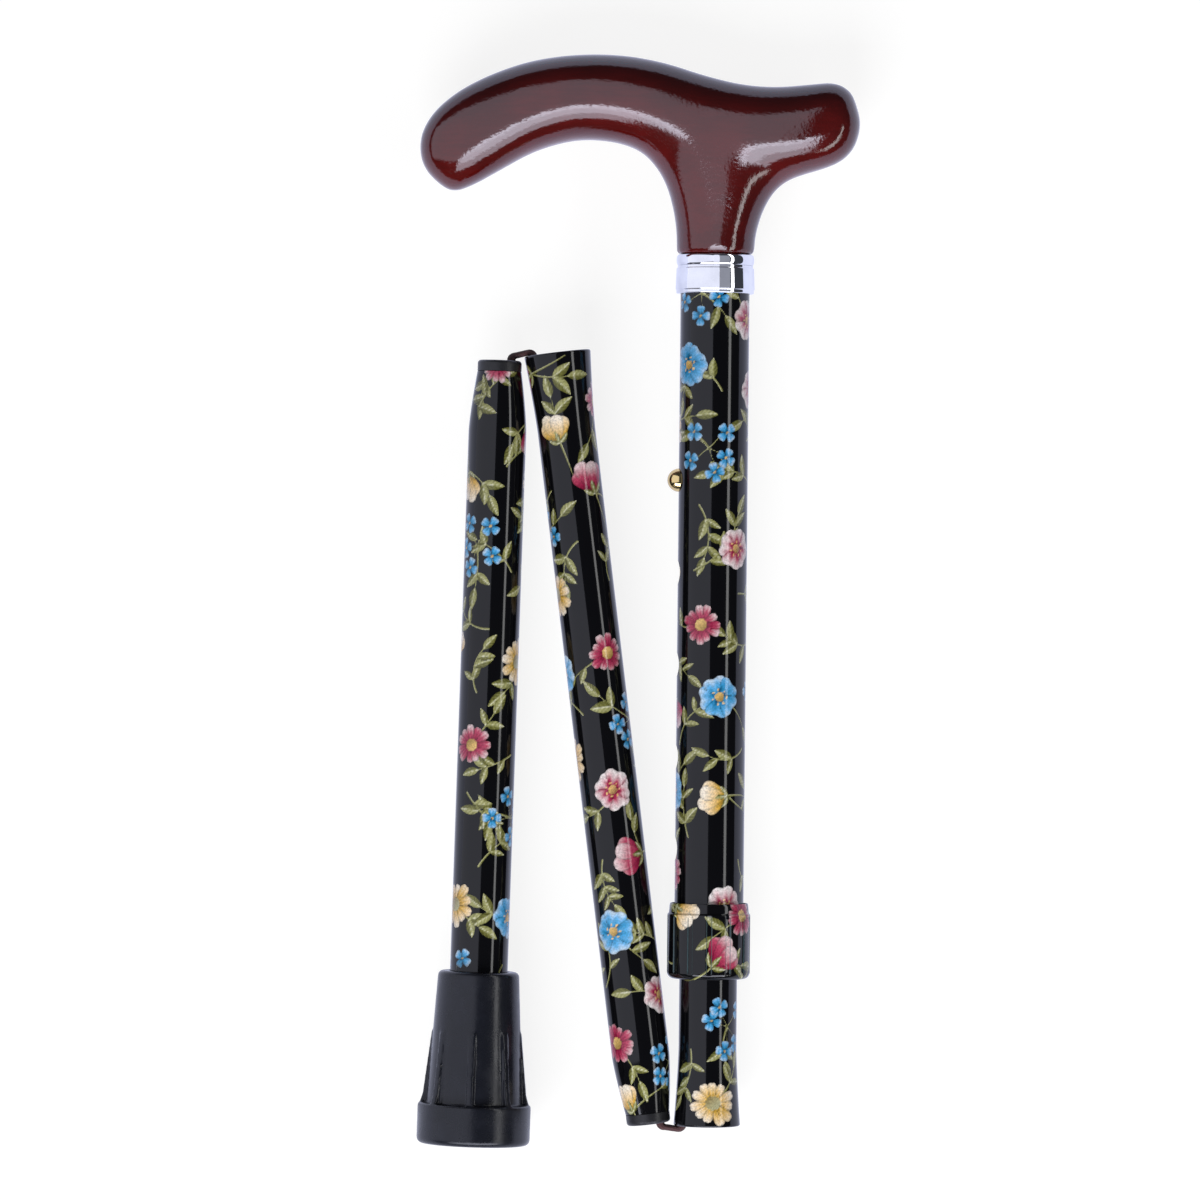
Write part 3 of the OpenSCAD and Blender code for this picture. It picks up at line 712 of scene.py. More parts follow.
def lay_round(film, rng, centre, size, colours, heart):
    """A bloom of five broad, notched petals, with stamens round its heart."""
    turn = lay_flower(film, rng, centre, size, colours, heart, **ROUND)
    for k in range(7):
        spot = polar(centre, size * 0.17, turn + math.tau * k / 7)
        lay_disc(film, spot, 0.27, heart[0], heart[0])


def lay_bud(film, rng, centre, size, colours, leaf):
    """A half-open bud of four petals in a green cup."""
    angle = rng.uniform(0, math.tau)
    for turn, long, tone in BUD:
        lay_petal(film, centre, angle + turn, size * long, size * 0.46, 0.0, colours, tone, 0.04)
    for side in (1, -1, 0):
        lay_leaf(film, centre, angle + side * 0.95, size * 0.42, size * 0.16, side * 0.3, leaf, "bloom")
    lay_stem(film, centre, angle + math.pi, size * 1.1, rng.uniform(-1, 1), 0.3, leaf)


def lay_cluster(film, rng, centre, size, colours, heart, leaf):
    """A spray of five tiny four-petalled flowers on thin stalks."""
    turn, small = rng.uniform(0, math.tau), size * 0.26
    for k in range(5):
        angle = turn + math.tau * k / 5 + rng.uniform(-0.3, 0.3)
        reach = size * rng.uniform(0.42, 0.62)
        spot = polar(centre, reach, angle)
        lay_stem(film, centre, angle, reach, 0.4, 0.17, leaf)
        for q in range(4):
            tone = rng.uniform(-0.1, 0.1)
            lay_petal(film, spot, angle + math.tau * q / 4, small, small * 0.85, 0.05, colours, tone)
        lay_disc(film, spot, 0.36, *heart)


def scatter(rng, girth, long, gap, taken):
    """Random spots on a tube that keep a gap from each other and their own room from those taken."""

    def clear(spot, other, room):
        return math.hypot(wrapped(spot[0] - other[0], girth), spot[1] - other[1]) >= room

    spots = []
    for _ in range(SPOT_TRIES):
        spot = (rng.uniform(0, girth), rng.uniform(0, long))
        if all(clear(spot, *other) for other in [(s, gap) for s in spots] + taken):
            spots.append(spot)
    return spots


def lay_print(film, rng, long, settings):
    """Lays blooms of all kinds over a tube, with sprigs between them."""
    size, gap = settings.bloom / MM, settings.spacing / MM
    blue = shades(settings.blue, (0.2, 0), (0.75, 0), (1.0, 0.1), (1.0, 0.6))
    rose = shades(settings.pink, (0.4, 0), (0.9, 0.02), (1.0, 0.6), (1.0, 0.92))
    crimson = shades(settings.pink, (0.25, 0), (0.65, 0), (0.95, 0.05), (1.0, 0.65))
    gold = shades(settings.gold, (0.3, 0), (0.95, 0.02), (1.1, 0.35), (1.15, 0.75))
    leaf = shades(settings.leaf, (0.15, 0), (0.6, 0), (1.4, 0.1), (1.8, 0.5))
    yellow, brown = shade(settings.gold, 1.25, 0.2), shade(settings.gold, 0.3)
    green = shade(settings.leaf, 1.6, 0.3)
    kinds = [
        lambda spot: lay_round(film, rng, spot, size, blue, (yellow, brown)),
        lambda spot: lay_flower(film, rng, spot, size * 1.12, gold, (green, brown), **DAISY),
        lambda spot: lay_round(film, rng, spot, size * 0.95, rose, (yellow, crimson[0])),
        lambda spot: lay_bud(film, rng, spot, size * 0.85, crimson, leaf),
        lambda spot: lay_cluster(film, rng, spot, size * 0.95, blue, (yellow, brown), leaf),
        lambda spot: lay_bud(film, rng, spot, size * 0.75, gold, leaf),
        lambda spot: lay_flower(film, rng, spot, size * 0.95, crimson, (yellow, brown), **DAISY),
    ]
    spots = sorted(scatter(rng, film.girth, long, gap, []), key=lambda spot: spot[1])
    order = []
    while len(order) < len(spots):
        order += rng.sample(kinds, len(kinds))
    for spot in spots:
        angle, reach = rng.uniform(0, math.tau), size * rng.uniform(0.75, 1.1)
        lay_sprig(film, rng, spot, angle, reach, 1, size * 0.55, leaf)
    for spot in scatter(rng, film.girth, long, gap * 0.85, [(s, gap * 0.74) for s in spots]):
        angle, reach = rng.uniform(0, math.tau), size * rng.uniform(0.9, 1.3)
        lay_sprig(film, rng, spot, angle, reach, rng.choice((2, 3)), size * 0.48, leaf)
    for spot, lay_kind in zip(spots, order):
        lay_kind(spot)


def print_on(piece, place, radius, seed, long):
    """Prints a tube's outside: writes the film's colours and edge distances to the piece's points."""
    mesh = piece.data
    back = np.array(place.inverted())
    local = point_values(mesh) @ back[:3, :3].T + back[:3, 3]
    facing = point_values(mesh, "normal") @ back[:3, :3].T
    outside = (facing[:, :2] * local[:, :2]).sum(axis=1) > OUTWARD * radius
    around = np.arctan2(local[:, 1], local[:, 0]) * radius / MM
    film = Film(around, local[:, 2] / MM, math.tau * radius / MM)
    settings = bpy.context.scene.cane_print
    lay_print(film, random.Random(settings.seed * 100 + seed), long / MM, settings)
    for layer in LAYERS:
        edge = np.clip(film.edge[layer], -FAR_EDGE, FAR_EDGE)
        keep_values(mesh, layer + "_edge", np.where(outside, edge, -FAR_EDGE))
        tint = mesh.attributes.new(layer + "_tint", "FLOAT_COLOR", "POINT")
        solid = np.concatenate([film.tint[layer], np.ones((len(around), 1))], axis=1)
        tint.data.foreach_set("color", solid.astype(np.float32).ravel())


# Tubes and ring


EDGE = 0.00015
INSIDE_STEP = 0.002
TAPER_POWER = 1.35
FLARE_POWER = 1.4


def outer_radius(height, long, sizes, spigot, socket):
    """Outside radius of a lower tube at a height from its first end."""
    r = sizes.tube_r
    if spigot and height < sizes.taper_end:
        t = (height - sizes.cap) / (sizes.taper_end - sizes.cap)
        r -= sizes.shrink * (1 - t) ** TAPER_POWER
    start = long - sizes.flare_len
    if socket and height > start:
        r += sizes.flare * ((height - start) / sizes.flare_len) ** FLARE_POWER
    return r


def tube_profile(long, sizes, grid, spigot, socket):
    """Closed profile of a lower tube: a finely stepped outside, its rims and a plain inside."""

    def wall_line(start, end, step, inset):
        return [(outer_radius(h, long, sizes, spigot, socket) - inset, h) for h in spread(start, end, step)]

    wall, rim = sizes.tube_wall, sizes.tube_wall / 2
    low = sizes.cap if spigot else 0.0
    high = long - (rim if socket else EDGE)
    outside = wall_line(low + EDGE, high, grid, 0.0)
    inside = wall_line(high, low + EDGE, INSIDE_STEP, wall)
    foot_r, top_r = outside[0][0], outside[-1][0]
    if socket:
        top = arc((top_r - rim, high), rim, 0, 180, 8)[1:-1]
    else:
        top = [(top_r - EDGE, long), (top_r - wall + EDGE, long)]
    return outside + top + inside + [(foot_r - wall + EDGE, low), (foot_r - EDGE, low)]


def drilled(piece, place, sizes, drops):
    """Cuts round holes in the side of a tube that points to -X, at heights along it."""
    bm = bmesh.new()
    aside = Vector((sizes.upper_r * 0.9, 0, 0))
    for drop in drops:
        spot = Matrix.Translation(place @ Vector((0, 0, drop)) - aside)
        place_bit = spot @ Matrix.Rotation(math.pi / 2, 4, "Y")
        add_rod(bm, sizes.hole_r, sizes.upper_r, segments=48, place=place_bit)
    bit = finish_mesh(bm, "hole_cutter")
    cut = piece.modifiers.new("Holes", "BOOLEAN")
    cut.object = bit
    cut.solver = "EXACT"
    applied(piece)
    bpy.data.objects.remove(bit)
    smoothed(piece.data)


class CANE_OT_tubes(bpy.types.Operator):
    """Turn the four printed tubes on a fine grid and print them"""

    bl_idname = "cane.tubes"
    bl_label = "Printed Tubes"

    def execute(self, context):
        sizes, grid = context.scene.cane_sizes, context.scene.cane_print.grid
        gloss = printed_gloss("printed_gloss")
        hole_y = sum(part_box("snap_button"), Vector()).y / 2

        def make(name, body, profile, place, radius, holes, seed, long):
            tube = lathe(name + "_printed", profile, place, round(math.tau * radius / grid))
            if holes:
                drilled(tube, place, sizes, holes)
            print_on(tube, place, radius, seed, long)
            dress(tube, gloss, body, "printed_tube", name)

        place, long = axis_frame("upper_tube", UPWARD)
        r, bore = sizes.upper_r, sizes.upper_r - sizes.upper_wall
        profile = [(r, h) for h in spread(EDGE, long - EDGE, grid)]
        profile += [(r - EDGE, long), (bore + EDGE, long), (bore, long - EDGE)]
        profile += [(bore, EDGE), (bore + EDGE, 0), (r - EDGE, 0)]
        first = hole_y - place.translation.y
        holes = [first - i * sizes.hole_pitch for i in range(sizes.hole_count)]
        make("upper_tube", "handle_section", profile, place, r, holes, 1, long)

        for seed, name, body, along, spigot, socket in (
            (2, "inner_tube", "inner_section", -UPWARD, False, True),
            (3, "middle_tube", "middle_section", MIDDLE, True, True),
            (4, "lower_tube", "lower_section", LOWER, True, False),
        ):
            place, long = axis_frame(name, along)
            cap = sizes.cap if spigot else 0.0
            place = place @ Matrix.Translation((0, 0, -cap))
            profile = tube_profile(long + cap, sizes, grid, spigot, socket)
            holes = [] if spigot else [place.translation.y - hole_y]
            make(name, body, profile, place, sizes.tube_r, holes, seed, long)
        return {"FINISHED"}


class CANE_OT_ring(bpy.types.Operator):
    """Turn the locking ring, press its flutes in and print it"""

    bl_idname = "cane.ring"
    bl_label = "Locking Ring"

    turned_steps, round_r, lip, seat = 416, 0.00185, 0.0027, 0.0162
    tube_gap, sleeve_gap, margin = 0.00035, 0.0009, 0.0004
    skin, flank, fade = 0.00005, 0.00022, 0.0006
    # Tint of the painted highlight on the flutes' walls
    flute_highlight_tint = (0.07, 0.12, 0.14)
    # Inset of the shoulder and the lip, and distance from the ring's upper end, in mm
    shoulder = ((0.12, 2.9), (0.35, 2.7), (0.4, 2.4), (0.4375, 2.0), (0.475, 1.6), (0.5125, 1.2),
                (0.55, 0.8), (0.62, 0.3), (0.75, 0.0))

    def execute(self, context):
        sizes, grid = context.scene.cane_sizes, context.scene.cane_print.grid
        place, long = axis_frame("locking_ring", UPWARD)
        r, round_r, step = sizes.ring_r, self.round_r, long - self.lip
        mouth, bore = sizes.tube_r + self.tube_gap, sizes.upper_r + self.sleeve_gap
        floor_h = long - self.seat
        profile = arc((r - round_r, round_r), round_r, -90, 0, 10)
        profile += [(r, h) for h in spread(round_r, step - self.margin, grid)[1:]]
        profile += [(r - inset * MM, long - drop * MM) for inset, drop in self.shoulder]
        profile += [(bore, long), (bore, floor_h), (mouth, floor_h), (mouth, 0.0)]
        ring = lathe("ring_fluted", profile, place, self.turned_steps)
        self.press_flutes(ring, place, sizes, round_r - self.margin, step - self.fade)
        print_on(ring, place, r, 5, long)
        gloss = printed_gloss("printed_ring_gloss", self.flute_highlight_tint)
        dress(ring, gloss, "ring", "printed_ring", "locking_ring")
        return {"FINISHED"}

    def press_flutes(self, ring, place, sizes, low, high):
        """Moves the ring's outside inwards along each flute, with rounded flanks and ends, and keeps the
        share of the painted highlight on the flanks.
        """
        bm = bmesh.new()
        bm.from_mesh(ring.data)
        bm.transform(place.inverted())
        pitch = math.tau / sizes.flutes
        flute_highlight_share = np.zeros(len(bm.verts))
        for i, vert in enumerate(bm.verts):
            r = math.hypot(vert.co.x, vert.co.y)
            if r < sizes.ring_r - self.skin:
                continue
            off = abs(wrapped(math.atan2(vert.co.y, vert.co.x), pitch)) * r
            side = unit((sizes.flute_w / 2 - off) / self.flank)
            end = unit(min(vert.co.z - low, high - vert.co.z) / self.fade)
            push = smoothstep(side) * end * sizes.flute_depth
            # Share of the painted highlight, strongest on the flutes' flanks
            flute_highlight_share[i] = 4 * side * (1 - side) * end
            vert.co.x *= 1 - push / r
            vert.co.y *= 1 - push / r
        bm.transform(place)
        bm.to_mesh(ring.data)
        bm.free()
        smoothed(ring.data, crease=40)
        keep_values(ring.data, "flute_wall", flute_highlight_share)


# Grip, collar and ferrule


class CANE_OT_grip(bpy.types.Operator):
    """Smooth the carved grip and lacquer it"""

    bl_idname = "cane.grip"
    bl_label = "Grip"

    voxel, rounds = 0.0008, 14
    branch_x, branch_y, reach, easing = 0.004, 0.026, 0.026, 120

    def execute(self, context):
        grip = copied("handle", "grip")
        remeshed(grip, self.voxel, self.rounds)
        self.ease(grip, SHAFT.x + self.branch_x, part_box("handle")[0][1] + self.branch_y)
        wood = lacquered_wood(context.scene.cane_finish)
        dress(grip, wood, "handle_section", "lacquered_wood", "handle")
        return {"FINISHED"}

    def ease(self, grip, x, y):
        """Runs arm, nose and stem into each other without a crease."""
        near = grip.vertex_groups.new(name="branch")
        for vert in grip.data.vertices:
            weight = smoothstep(1 - math.hypot(vert.co.x - x, vert.co.y - y) / self.reach)
            near.add([vert.index], weight, "REPLACE")
        softened(grip, self.easing, near.name)
        grip.vertex_groups.clear()


class CANE_OT_collar(bpy.types.Operator):
    """Turn the polished collar with its bead, groove and lower lip"""

    bl_idname = "cane.collar"
    bl_label = "Collar"

    fit, hole_r, top_wall = 0.00003, 0.00653, 0.001
    lip_h, groove_h, bead_h = 0.0012, 0.0006, 0.003
    corner, draft, bead_foot, bead_rise = 0.0003, 0.0002, 0.0007, 0.0005

    def execute(self, context):
        sizes = context.scene.cane_sizes
        place, long = axis_frame("collar", UPWARD)
        r, bore, corner = sizes.collar_r, sizes.upper_r + self.fit, self.corner
        bead_low, shelf = long - self.bead_h, long - self.top_wall
        groove_low = bead_low - self.groove_h
        neck = r - self.draft - corner
        profile = arc((neck, corner), corner, -90, 0, 5)
        profile += [(r - self.draft, self.lip_h - corner)]
        profile += arc((r - corner, self.lip_h + corner / 3), corner, -60, 0, 5)
        profile += arc((neck, groove_low - corner), corner, 0, 90, 6)
        profile += [(neck, groove_low), (neck, bead_low)]
        for turn in (math.pi * i / 20 for i in range(21)):
            height = bead_low + self.bead_h / 2 * (1 - math.cos(turn))
            profile.append((r - self.bead_foot + self.bead_rise * math.sin(turn), height))
        profile += [(self.hole_r, long), (self.hole_r, shelf), (bore, shelf), (bore, 0)]
        collar = lathe("collar_band", profile, place, steps=192, crease=50)
        tint = context.scene.cane_finish.chrome
        chrome = metal("polished_chrome", tint, rough=0.035, uneven=0.05, scale=220.0)
        dress(collar, chrome, "handle_section", "chrome", "collar")
        return {"FINISHED"}


class CANE_OT_ferrule(bpy.types.Operator):
    """Round the edges of the ribbed ferrule as moulded rubber"""

    bl_idname = "cane.ferrule"
    bl_label = "Ferrule"

    voxel, rounds = 0.00035, 3

    def execute(self, context):
        ferrule = copied("ferrule", "ferrule_moulded")
        remeshed(ferrule, self.voxel, self.rounds)
        tint = context.scene.cane_finish.rubber
        rubber = moulded("moulded_rubber", tint, rough=0.22, grain=1500.0, depth=0.6)
        dress(ferrule, rubber, "lower_section", "rubber", "ferrule")
        return {"FINISHED"}


# Elastic cord


CARRIERS, BRAID_PITCH, BRAID_RELIEF = 8, 0.0042, 0.07
PRESSED_RUN, PRESSED_WIDER, PRESSED_THINNER = 0.0012, 0.15, 0.27


def rounded(points, radius, steps=8):
    """A path with its inner corners rounded."""
    path = [points[0]]
    for a, b, c in zip(points, points[1:], points[2:]):
        u, w = (a - b).normalized(), (c - b).normalized()
        half = u.angle(w) / 2
        middle = b + (u + w).normalized() * radius / math.sin(half)
        start = b + u * radius / math.tan(half) - middle
        end = b + w * radius / math.tan(half) - middle
        path += [middle + start.lerp(end, i / steps).normalized() * radius for i in range(steps + 1)]
    return path + [points[-1]]


def resampled(path, step):
    """Points no further apart than step along a path."""
    points = [path[0]]
    for a, b in zip(path, path[1:]):
        count = max(1, math.ceil((b - a).length / step))
        points += [a.lerp(b, i / count) for i in range(1, count + 1)]
    return points


def braid(name, path, radius, sides, step, rest=None):
    """Sweeps a braided cord along a flat path; the strands stand proud, and their height is kept for a
    painted highlight on their crowns and painted shade between them. It is pressed flat within reach of
    rest, a spot and a distance."""
    points = resampled(path, step)
    bm = bmesh.new()
    ring = bmesh.ops.create_circle(bm, segments=sides, radius=radius)["verts"]
    loop, heights, run = bm.edges[:], [], 0.0
    for i, point in enumerate(points):
        if i:
            run += (point - points[i - 1]).length
            grown = bmesh.ops.extrude_edge_only(bm, edges=loop)["geom"]
            fresh = {g for g in grown if isinstance(g, bmesh.types.BMVert)}
            loop = [g for g in grown if isinstance(g, bmesh.types.BMEdge) and fresh.issuperset(g.verts)]
            ring = [next(v for v in (e.other_vert(o) for e in o.link_edges) if v in fresh) for o in ring]
        ahead = (points[min(i + 1, len(points) - 1)] - points[max(i - 1, 0)]).normalized()
        side = UP.cross(ahead).normalized()
        flat = unit((rest[1] - (point - rest[0]).length) / PRESSED_RUN) if rest else 0.0
        wide, thin = 1 + PRESSED_WIDER * flat, 1 - PRESSED_THINNER * flat
        for k, vert in enumerate(ring):
            turn = math.tau * k / sides
            p = CARRIERS * turn / math.tau + run / BRAID_PITCH
            q = CARRIERS * turn / math.tau - run / BRAID_PITCH
            over = (math.floor(p) + math.floor(q)) % 2
            crown = math.cos(math.pi * ((p if over else q) % 1 - 0.5))
            heights.append(crown)
            out = side * math.cos(turn) * thin + UP * math.sin(turn) * wide
            vert.co = point + out * radius * (1 - BRAID_RELIEF + BRAID_RELIEF * crown)
            vert.index = i * sides + k
    bmesh.ops.holes_fill(bm, edges=[e for e in bm.edges if e.is_boundary], sides=sides)
    bm.verts.sort()
    sort_faces(bm)
    bmesh.ops.recalc_face_normals(bm, faces=bm.faces)
    cord = finish_mesh(bm, name, crease=80)
    keep_values(cord.data, "strand", heights)
    return cord


class CANE_OT_elastic(bpy.types.Operator):
    """Braid the elastic cord inside the tubes and over both folds"""

    bl_idname = "cane.elastic"
    bl_label = "Elastic Cord"

    socket_leg, socket_side, leg_side = 0.015, 0.0069, 0.005
    plug_leg, plug_side = 0.005, 0.00316
    past_rim, bend_r, gap = 0.00115, 0.00135, 0.0001
    parting, drawn_in = 0.0014, 0.3
    turn_from, turn_to = (0.0065, -0.0015), (0.0085, 0.003)
    straight_sides, straight_step = 24, 0.0005
    bend_sides, bend_step = 40, 0.0002
    knot_size, knot_stand, knot_tail, knot_beads, knot_voxel = 0.0017, 0.0029, 0.002, 60, 0.00028

    def corners(self, mouth, mouth_out, plug, plug_out):
        """The cord's bend from a socket over both rims into the next tube's plug, and where it starts and
        ends to turn."""
        across = plug - mouth
        side = (across - mouth_out * across.dot(mouth_out)).normalized()
        other = -(across - plug_out * across.dot(plug_out)).normalized()

        def by_mouth(aside, out):
            return mouth + side * aside + mouth_out * out

        def by_plug(aside, out):
            return plug + other * aside + plug_out * out

        route = [
            by_mouth(self.leg_side, -self.socket_leg),
            by_mouth(self.socket_side, self.past_rim),
            by_plug(self.plug_side, self.past_rim),
            by_plug(self.plug_side, -self.plug_leg),
        ]
        return route, (by_mouth(*self.turn_from), by_mouth(*self.turn_to))

    def bend(self, fold, route, turn, body, r, material):
        """The socket's half stays where it is built and stands for the hidden cord loop; the plug's half
        goes with its body as the seat slides."""
        name = "elastic_bend_" + fold
        spot = (route[1] + route[2]) / 2
        flat = (spot, (route[1] - spot).length)
        part = route[1] + (route[2] - route[1]).normalized() * self.parting

        def half(label, points):
            return braid(label, rounded(points, self.bend_r), r, self.bend_sides, self.bend_step, flat)

        socket_half = half(name, [*route[:2], part])
        coat(socket_half.data, material)
        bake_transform(socket_half)
        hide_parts("cord_loop_" + fold)
        plug_half = half(name + "_plug", [part, *route[2:]])
        dress(plug_half, material, body, "elastic")
        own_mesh(plug_half)

    def execute(self, context):
        r = context.scene.cane_sizes.cord_r
        material = braided_elastic(context.scene.cane_finish)
        inner_mouth = axis_ends("inner_tube", -UPWARD)[1]
        middle_mouth = axis_ends("middle_tube", MIDDLE)[1]
        middle_plug = axis_ends("middle_plug", MIDDLE)[0]
        lower_plug = axis_ends("lower_plug", LOWER)[0]
        first, first_turn = self.corners(inner_mouth, -UPWARD, middle_plug, -MIDDLE)
        second, second_turn = self.corners(middle_mouth, MIDDLE, lower_plug, -LOWER)
        self.bend("upper", first, first_turn, "middle_section", r, material)
        self.bend("lower", second, second_turn, "lower_section", r, material)
        upper_anchor, tail = axis_frame("cord_anchor_upper", -UPWARD)
        lower_anchor = axis_frame("cord_anchor_lower", LOWER)[0]
        start = upper_anchor @ Vector((0, 0, tail + self.gap))
        end = lower_anchor @ Vector((0, 0, -self.gap))
        for name, a, b, body in (
            ("upper", start, first[0], "inner_section"),
            ("middle", first[3], second[0], "middle_section"),
            ("lower", second[3], end, "lower_section"),
        ):
            cord = braid("elastic_" + name, [a, b], r, self.straight_sides, self.straight_step)
            dress(cord, material, body, "elastic", "cord_" + name)
        for name, place, way, body in (
            ("upper", upper_anchor, -1, "inner_section"),
            ("lower", lower_anchor @ Matrix.Translation((0, 0, tail)), 1, "lower_section"),
        ):
            knot = self.knot("elastic_knot_" + name, place, way, r * 0.95, tail)
            dress(knot, material, body, "elastic", "cord_knot_" + name)
        return {"FINISHED"}

    def knot(self, name, place, way, r, tail):
        """A pulled-tight overhand knot with its tail through the anchor."""
        bm = bmesh.new()
        for a in (math.tau * i / self.knot_beads for i in range(self.knot_beads)):
            x, y = math.sin(a) + 2 * math.sin(2 * a), math.cos(a) - 2 * math.cos(2 * a)
            spot = Vector((x, y, -1.6 * math.sin(3 * a))) * self.knot_size / 3
            spot.z += way * self.knot_stand
            bmesh.ops.create_icosphere(bm, subdivisions=1, radius=r, matrix=Matrix.Translation(spot))
        stand = -way * (tail / 2 - self.knot_tail - self.gap)
        add_rod(bm, r, tail, segments=24, place=Matrix.Translation((0, 0, stand)))
        bm.transform(place)
        knot = finish_mesh(bm, name)
        remeshed(knot, self.knot_voxel, rounds=4)
        # An even middle level of the braid's painted shading on the knot
        keep_values(knot.data, "strand", np.full(len(knot.data.vertices), 0.6))
        return knot


# Pieces that keep their CAD shape


class CANE_OT_fittings(bpy.types.Operator):
    """Give the button, the plugs and the inner works their finishes"""

    bl_idname = "cane.fittings"
    bl_label = "Fittings"

    def execute(self, context):
        finish = context.scene.cane_finish
        brass = metal("polished_brass", finish.brass, rough=0.10, uneven=0.08, scale=300.0)
        zinc = metal("zinc_steel", (0.55, 0.56, 0.58), rough=0.28, uneven=0.15, scale=400.0)
        plastic = moulded("satin_plastic", finish.plastic, rough=0.32, grain=2200.0, depth=0.5)
        nylon = moulded("natural_nylon", (0.62, 0.61, 0.56), rough=0.4, grain=1800.0, depth=0.5)
        coat_nodes(brass, "snap_button")
        coat_nodes(zinc, "handle_screw", "ferrule_washer")
        self.spring(zinc)
        coat_nodes(plastic, "middle_plug", "lower_plug", "guide_bush", "threaded_sleeve")
        coat_nodes(plastic, "cord_anchor_upper", "cord_anchor_lower")
        coat_nodes(nylon, "clamp_collet")
        coat_nodes(turned_beech(), "handle_tenon")
        return {"FINISHED"}

    @staticmethod
    def spring(material):
        """The leaf behind the button, a copy of its CAD node that goes with the inner section."""
        leaf = copied("button_spring", "leaf_spring")
        dress(leaf, material, "inner_section", "steel", "button_spring")
        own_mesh(leaf)


# Stage


LAMP_DISTANCE = 1.25
WHITE, PANEL_TINT = (1.0, 1.0, 1.0), (0.84, 0.86, 1.0)
FLOOR_SIZE, FLOOR_GAP, CEILING_R = 6, 0.0004, 5


def hide_from(piece, *rays):
    """Keeps rays of the named kinds from seeing a piece or a lamp."""
    for ray in rays:
        setattr(piece, "visible_" + ray, False)


def bare_tree(owner):
    """The emptied node tree of a material or a world."""
    owner.use_nodes = True
    owner.node_tree.nodes.clear()
    return owner.node_tree


def seen_rays(tree):
    """A mask of camera rays, and one of all rays that show the background, mirrored ones too."""
    path = add(tree, "LightPath").outputs
    eye = path["Is Camera Ray"]
    mirrored = maths(tree, "MAXIMUM", path["Is Glossy Ray"], path["Is Transmission Ray"])
    return eye, maths(tree, "MAXIMUM", eye, mirrored)


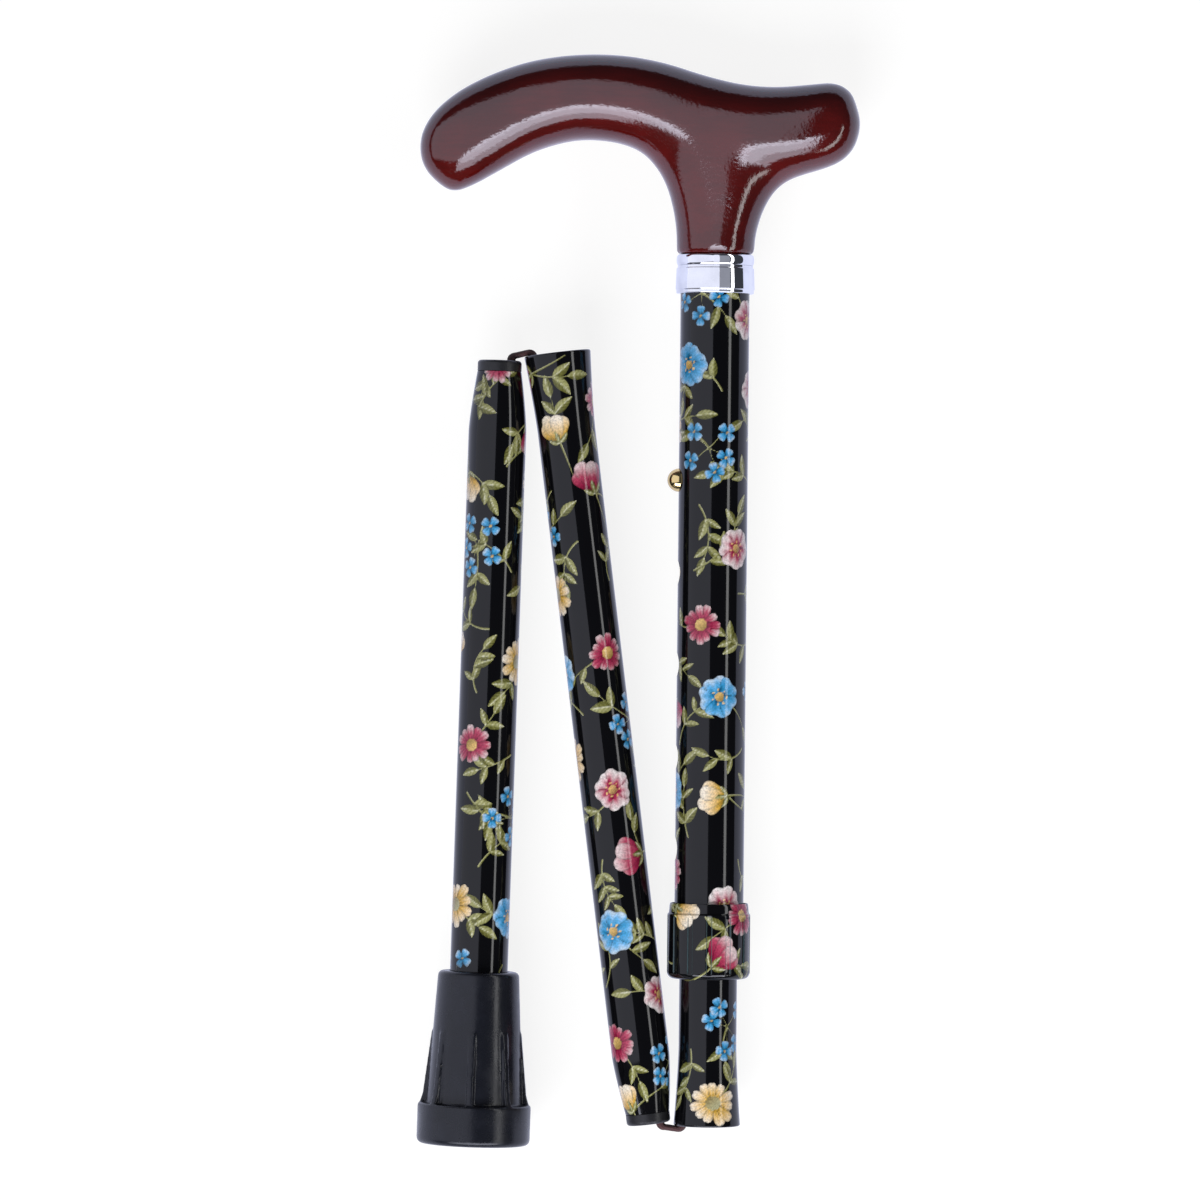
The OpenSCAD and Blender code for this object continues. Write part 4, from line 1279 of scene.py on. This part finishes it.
class CANE_OT_stage(bpy.types.Operator):
    """Set up the camera, the pale floor, the lamps and the white surround"""

    bl_idname = "cane.stage"
    bl_label = "Stage"

    def execute(self, context):
        scene = context.scene
        stage = scene.cane_stage
        scene.view_settings.view_transform = "Standard"
        self.camera(scene, stage)
        self.floor()
        self.surround(scene, stage)
        self.ceiling()
        # Name, brightness, size, tilt, shift, the piece it lights and the rays that don't see it
        for lamp in (
            ("key", stage.key, (0.9, 0.9), (-16, -46), 0, "", "glossy"),
            ("strip", stage.strip, (0.19, 3.2), (52.5, 0), 0, "-grip"),
            ("grip_strip", stage.strip, (0.19, 1.6), (52.5, 0), -0.75, "grip"),
            ("side_panel", stage.panel, (2.3, 1.75), (-48, 0), 0.38, "-grip", "diffuse"),
            ("front_panel", stage.front, (2.0, 0.62), (0, -48), 0, "-grip", "diffuse"),
            ("grip_panel", stage.panel * 1.1, (2.6, 1.75), (-33, 0), 0.38, "grip", "diffuse"),
            ("grip_edge_panel", stage.front * 1.5, (0.80, 0.11), (6, -16.5), 0.13, "grip", "diffuse"),
            ("grip_front_panel", stage.front * 1.15, (0.80, 0.418), (6, -28.5), 0.13, "grip", "diffuse"),
            ("grip_fall_panel", stage.front * 0.65, (0.80, 0.418), (6, -47.5), 0.13, "grip", "diffuse"),
            ("band_panel", stage.panel, (0.40, 1.75), (3.9, 0), 0.38, "collar_band", "diffuse"),
            ("collar_panel", stage.panel * 0.3, (0.7, 1.75), (29, 0), 0, "collar_band", "diffuse"),
        ):
            self.lamp(scene, *lamp)
        return {"FINISHED"}

    @staticmethod
    def camera(scene, stage):
        data = bpy.data.cameras.new("camera")
        data.sensor_width = 36
        data.lens = data.sensor_width * stage.height / stage.field
        data.clip_end = 50
        camera = bpy.data.objects.new("camera", data)
        camera.location = (stage.centre_x, stage.centre_y, SHAFT.z + stage.height)
        camera.rotation_euler = (0, 0, stage.roll)
        scene.collection.objects.link(camera)
        scene.camera = camera

    @staticmethod
    def floor():
        """A pale floor that stays white to the eye and to reflections, and takes a soft shadow."""
        bm = bmesh.new()
        bmesh.ops.create_grid(bm, x_segments=8, y_segments=8, size=FLOOR_SIZE)
        bm.transform(Matrix.Translation((0, 0, -FLOOR_GAP)))
        floor = finish_mesh(bm, "floor")
        material = bpy.data.materials.new("pale_floor")
        tree = bare_tree(material)
        eye, seen = seen_rays(tree)
        matt = add(tree, "BsdfDiffuse", {"Color": (0.22, 0.22, 0.22, 1)}).outputs[0]
        tint = blend_colour(tree, eye, (0.68, 0.72, 0.97, 1), (0.86, 0.86, 0.86, 1))
        glow = add(tree, "Emission", {"Color": tint, "Strength": seen}).outputs[0]
        add(tree, "OutputMaterial", {"Surface": add(tree, "AddShader", {0: matt, 1: glow}).outputs[0]})
        coat(floor.data, material)

    @staticmethod
    def surround(scene, stage):
        """White to the eye and to reflections, and an even fill on the object."""
        scene.world = bpy.data.worlds.new("surround")
        tree = bare_tree(scene.world)
        level = band(tree, seen_rays(tree)[1], 0.0, 1.0, stage.fill)
        sky = add(tree, "Background", {"Color": (*WHITE, 1), "Strength": level}).outputs[0]
        add(tree, "OutputWorld", {"Surface": sky})

    @staticmethod
    def ceiling():
        """A dark studio ceiling that only reflections see."""
        bm = bmesh.new()
        bmesh.ops.create_uvsphere(bm, u_segments=48, v_segments=24, radius=CEILING_R)
        whole = bm.verts[:] + bm.edges[:] + bm.faces[:]
        bmesh.ops.bisect_plane(bm, geom=whole, plane_co=(0, 0, 0), plane_no=(0, 0, -1), clear_outer=True)
        ceiling = finish_mesh(bm, "studio_ceiling")
        dark = {"Base_Color": (0.004, 0.004, 0.005, 1), "Specular_IOR_Level": 0.0}
        # The cloth's faint glow is painted light: no lamp lights it, and reflections show it as a dim
        # ceiling
        glow = {"Emission_Color": (0.75, 0.82, 1.0, 1), "Emission_Strength": 0.06}
        coat(ceiling.data, new_material("black_cloth", **dark, **glow)[0])
        hide_from(ceiling, "camera", "diffuse", "transmission", "volume_scatter", "shadow")

    @staticmethod
    def lamp(scene, name, level, size, tilt, shift, piece, *unseen):
        """A lamp that faces the cane; tilt is from straight above, in degrees to +X and to +Y, and shift
        is along Y. It lights all pieces, only the named one, or all but one named with a minus, and
        rays of the kinds in unseen don't see it."""
        data = bpy.data.lights.new(name, "AREA")
        data.shape = "RECTANGLE"
        data.size, data.size_y = size
        data.energy = level * math.pi * size[0] * size[1]
        data.color = PANEL_TINT if "panel" in name else WHITE
        lamp = bpy.data.objects.new(name, data)
        forth = Matrix.Rotation(math.radians(-tilt[1]), 4, "X")
        turn = forth @ Matrix.Rotation(math.radians(tilt[0]), 4, "Y")
        stand = Matrix.Translation((0, 0, LAMP_DISTANCE))
        lamp.matrix_world = Matrix.Translation((0, shift, SHAFT.z)) @ turn @ stand
        hide_from(lamp, "camera", *unseen)
        scene.collection.objects.link(lamp)
        if piece:
            linked = lamp.light_linking.receiver_collection = bpy.data.collections.new(name + "_pieces")
            linked.objects.link(bpy.data.objects[piece.lstrip("-")])
            state = "EXCLUDE" if piece.startswith("-") else "INCLUDE"
            linked.collection_objects[0].light_linking.link_state = state


# Registration


STEPS = (
    CANE_OT_elastic, CANE_OT_tubes, CANE_OT_ring, CANE_OT_grip,
    CANE_OT_collar, CANE_OT_ferrule, CANE_OT_fittings, CANE_OT_stage,
)
SETTINGS = {
    "cane_sizes": CaneSizes, "cane_print": CanePrint, "cane_finish": CaneFinish, "cane_stage": CaneStage,
}


class CANE_PT_panel(bpy.types.Panel):
    """Lists the cane's pieces and settings"""

    bl_label = "Folding Cane"
    bl_idname = "CANE_PT_panel"
    bl_space_type = "VIEW_3D"
    bl_region_type = "UI"
    bl_category = "Cane"

    def draw(self, context):
        for step in STEPS:
            self.layout.operator(step.bl_idname)
        for key, group in SETTINGS.items():
            box = self.layout.box()
            for setting in group.__annotations__:
                box.prop(getattr(context.scene, key), setting)


def register():
    for cls in (*SETTINGS.values(), *STEPS, CANE_PT_panel):
        bpy.utils.register_class(cls)
    for key, group in SETTINGS.items():
        setattr(bpy.types.Scene, key, PointerProperty(type=group))


def unregister():
    for key in SETTINGS:
        delattr(bpy.types.Scene, key)
    for cls in (CANE_PT_panel, *STEPS[::-1], *SETTINGS.values()):
        bpy.utils.unregister_class(cls)


def main():
    register()
    bpy.ops.cane.elastic()
    bpy.ops.cane.tubes()
    bpy.ops.cane.ring()
    bpy.ops.cane.grip()
    bpy.ops.cane.collar()
    bpy.ops.cane.ferrule()
    bpy.ops.cane.fittings()
    bpy.ops.cane.stage()


if __name__ == "__main__":
    main()
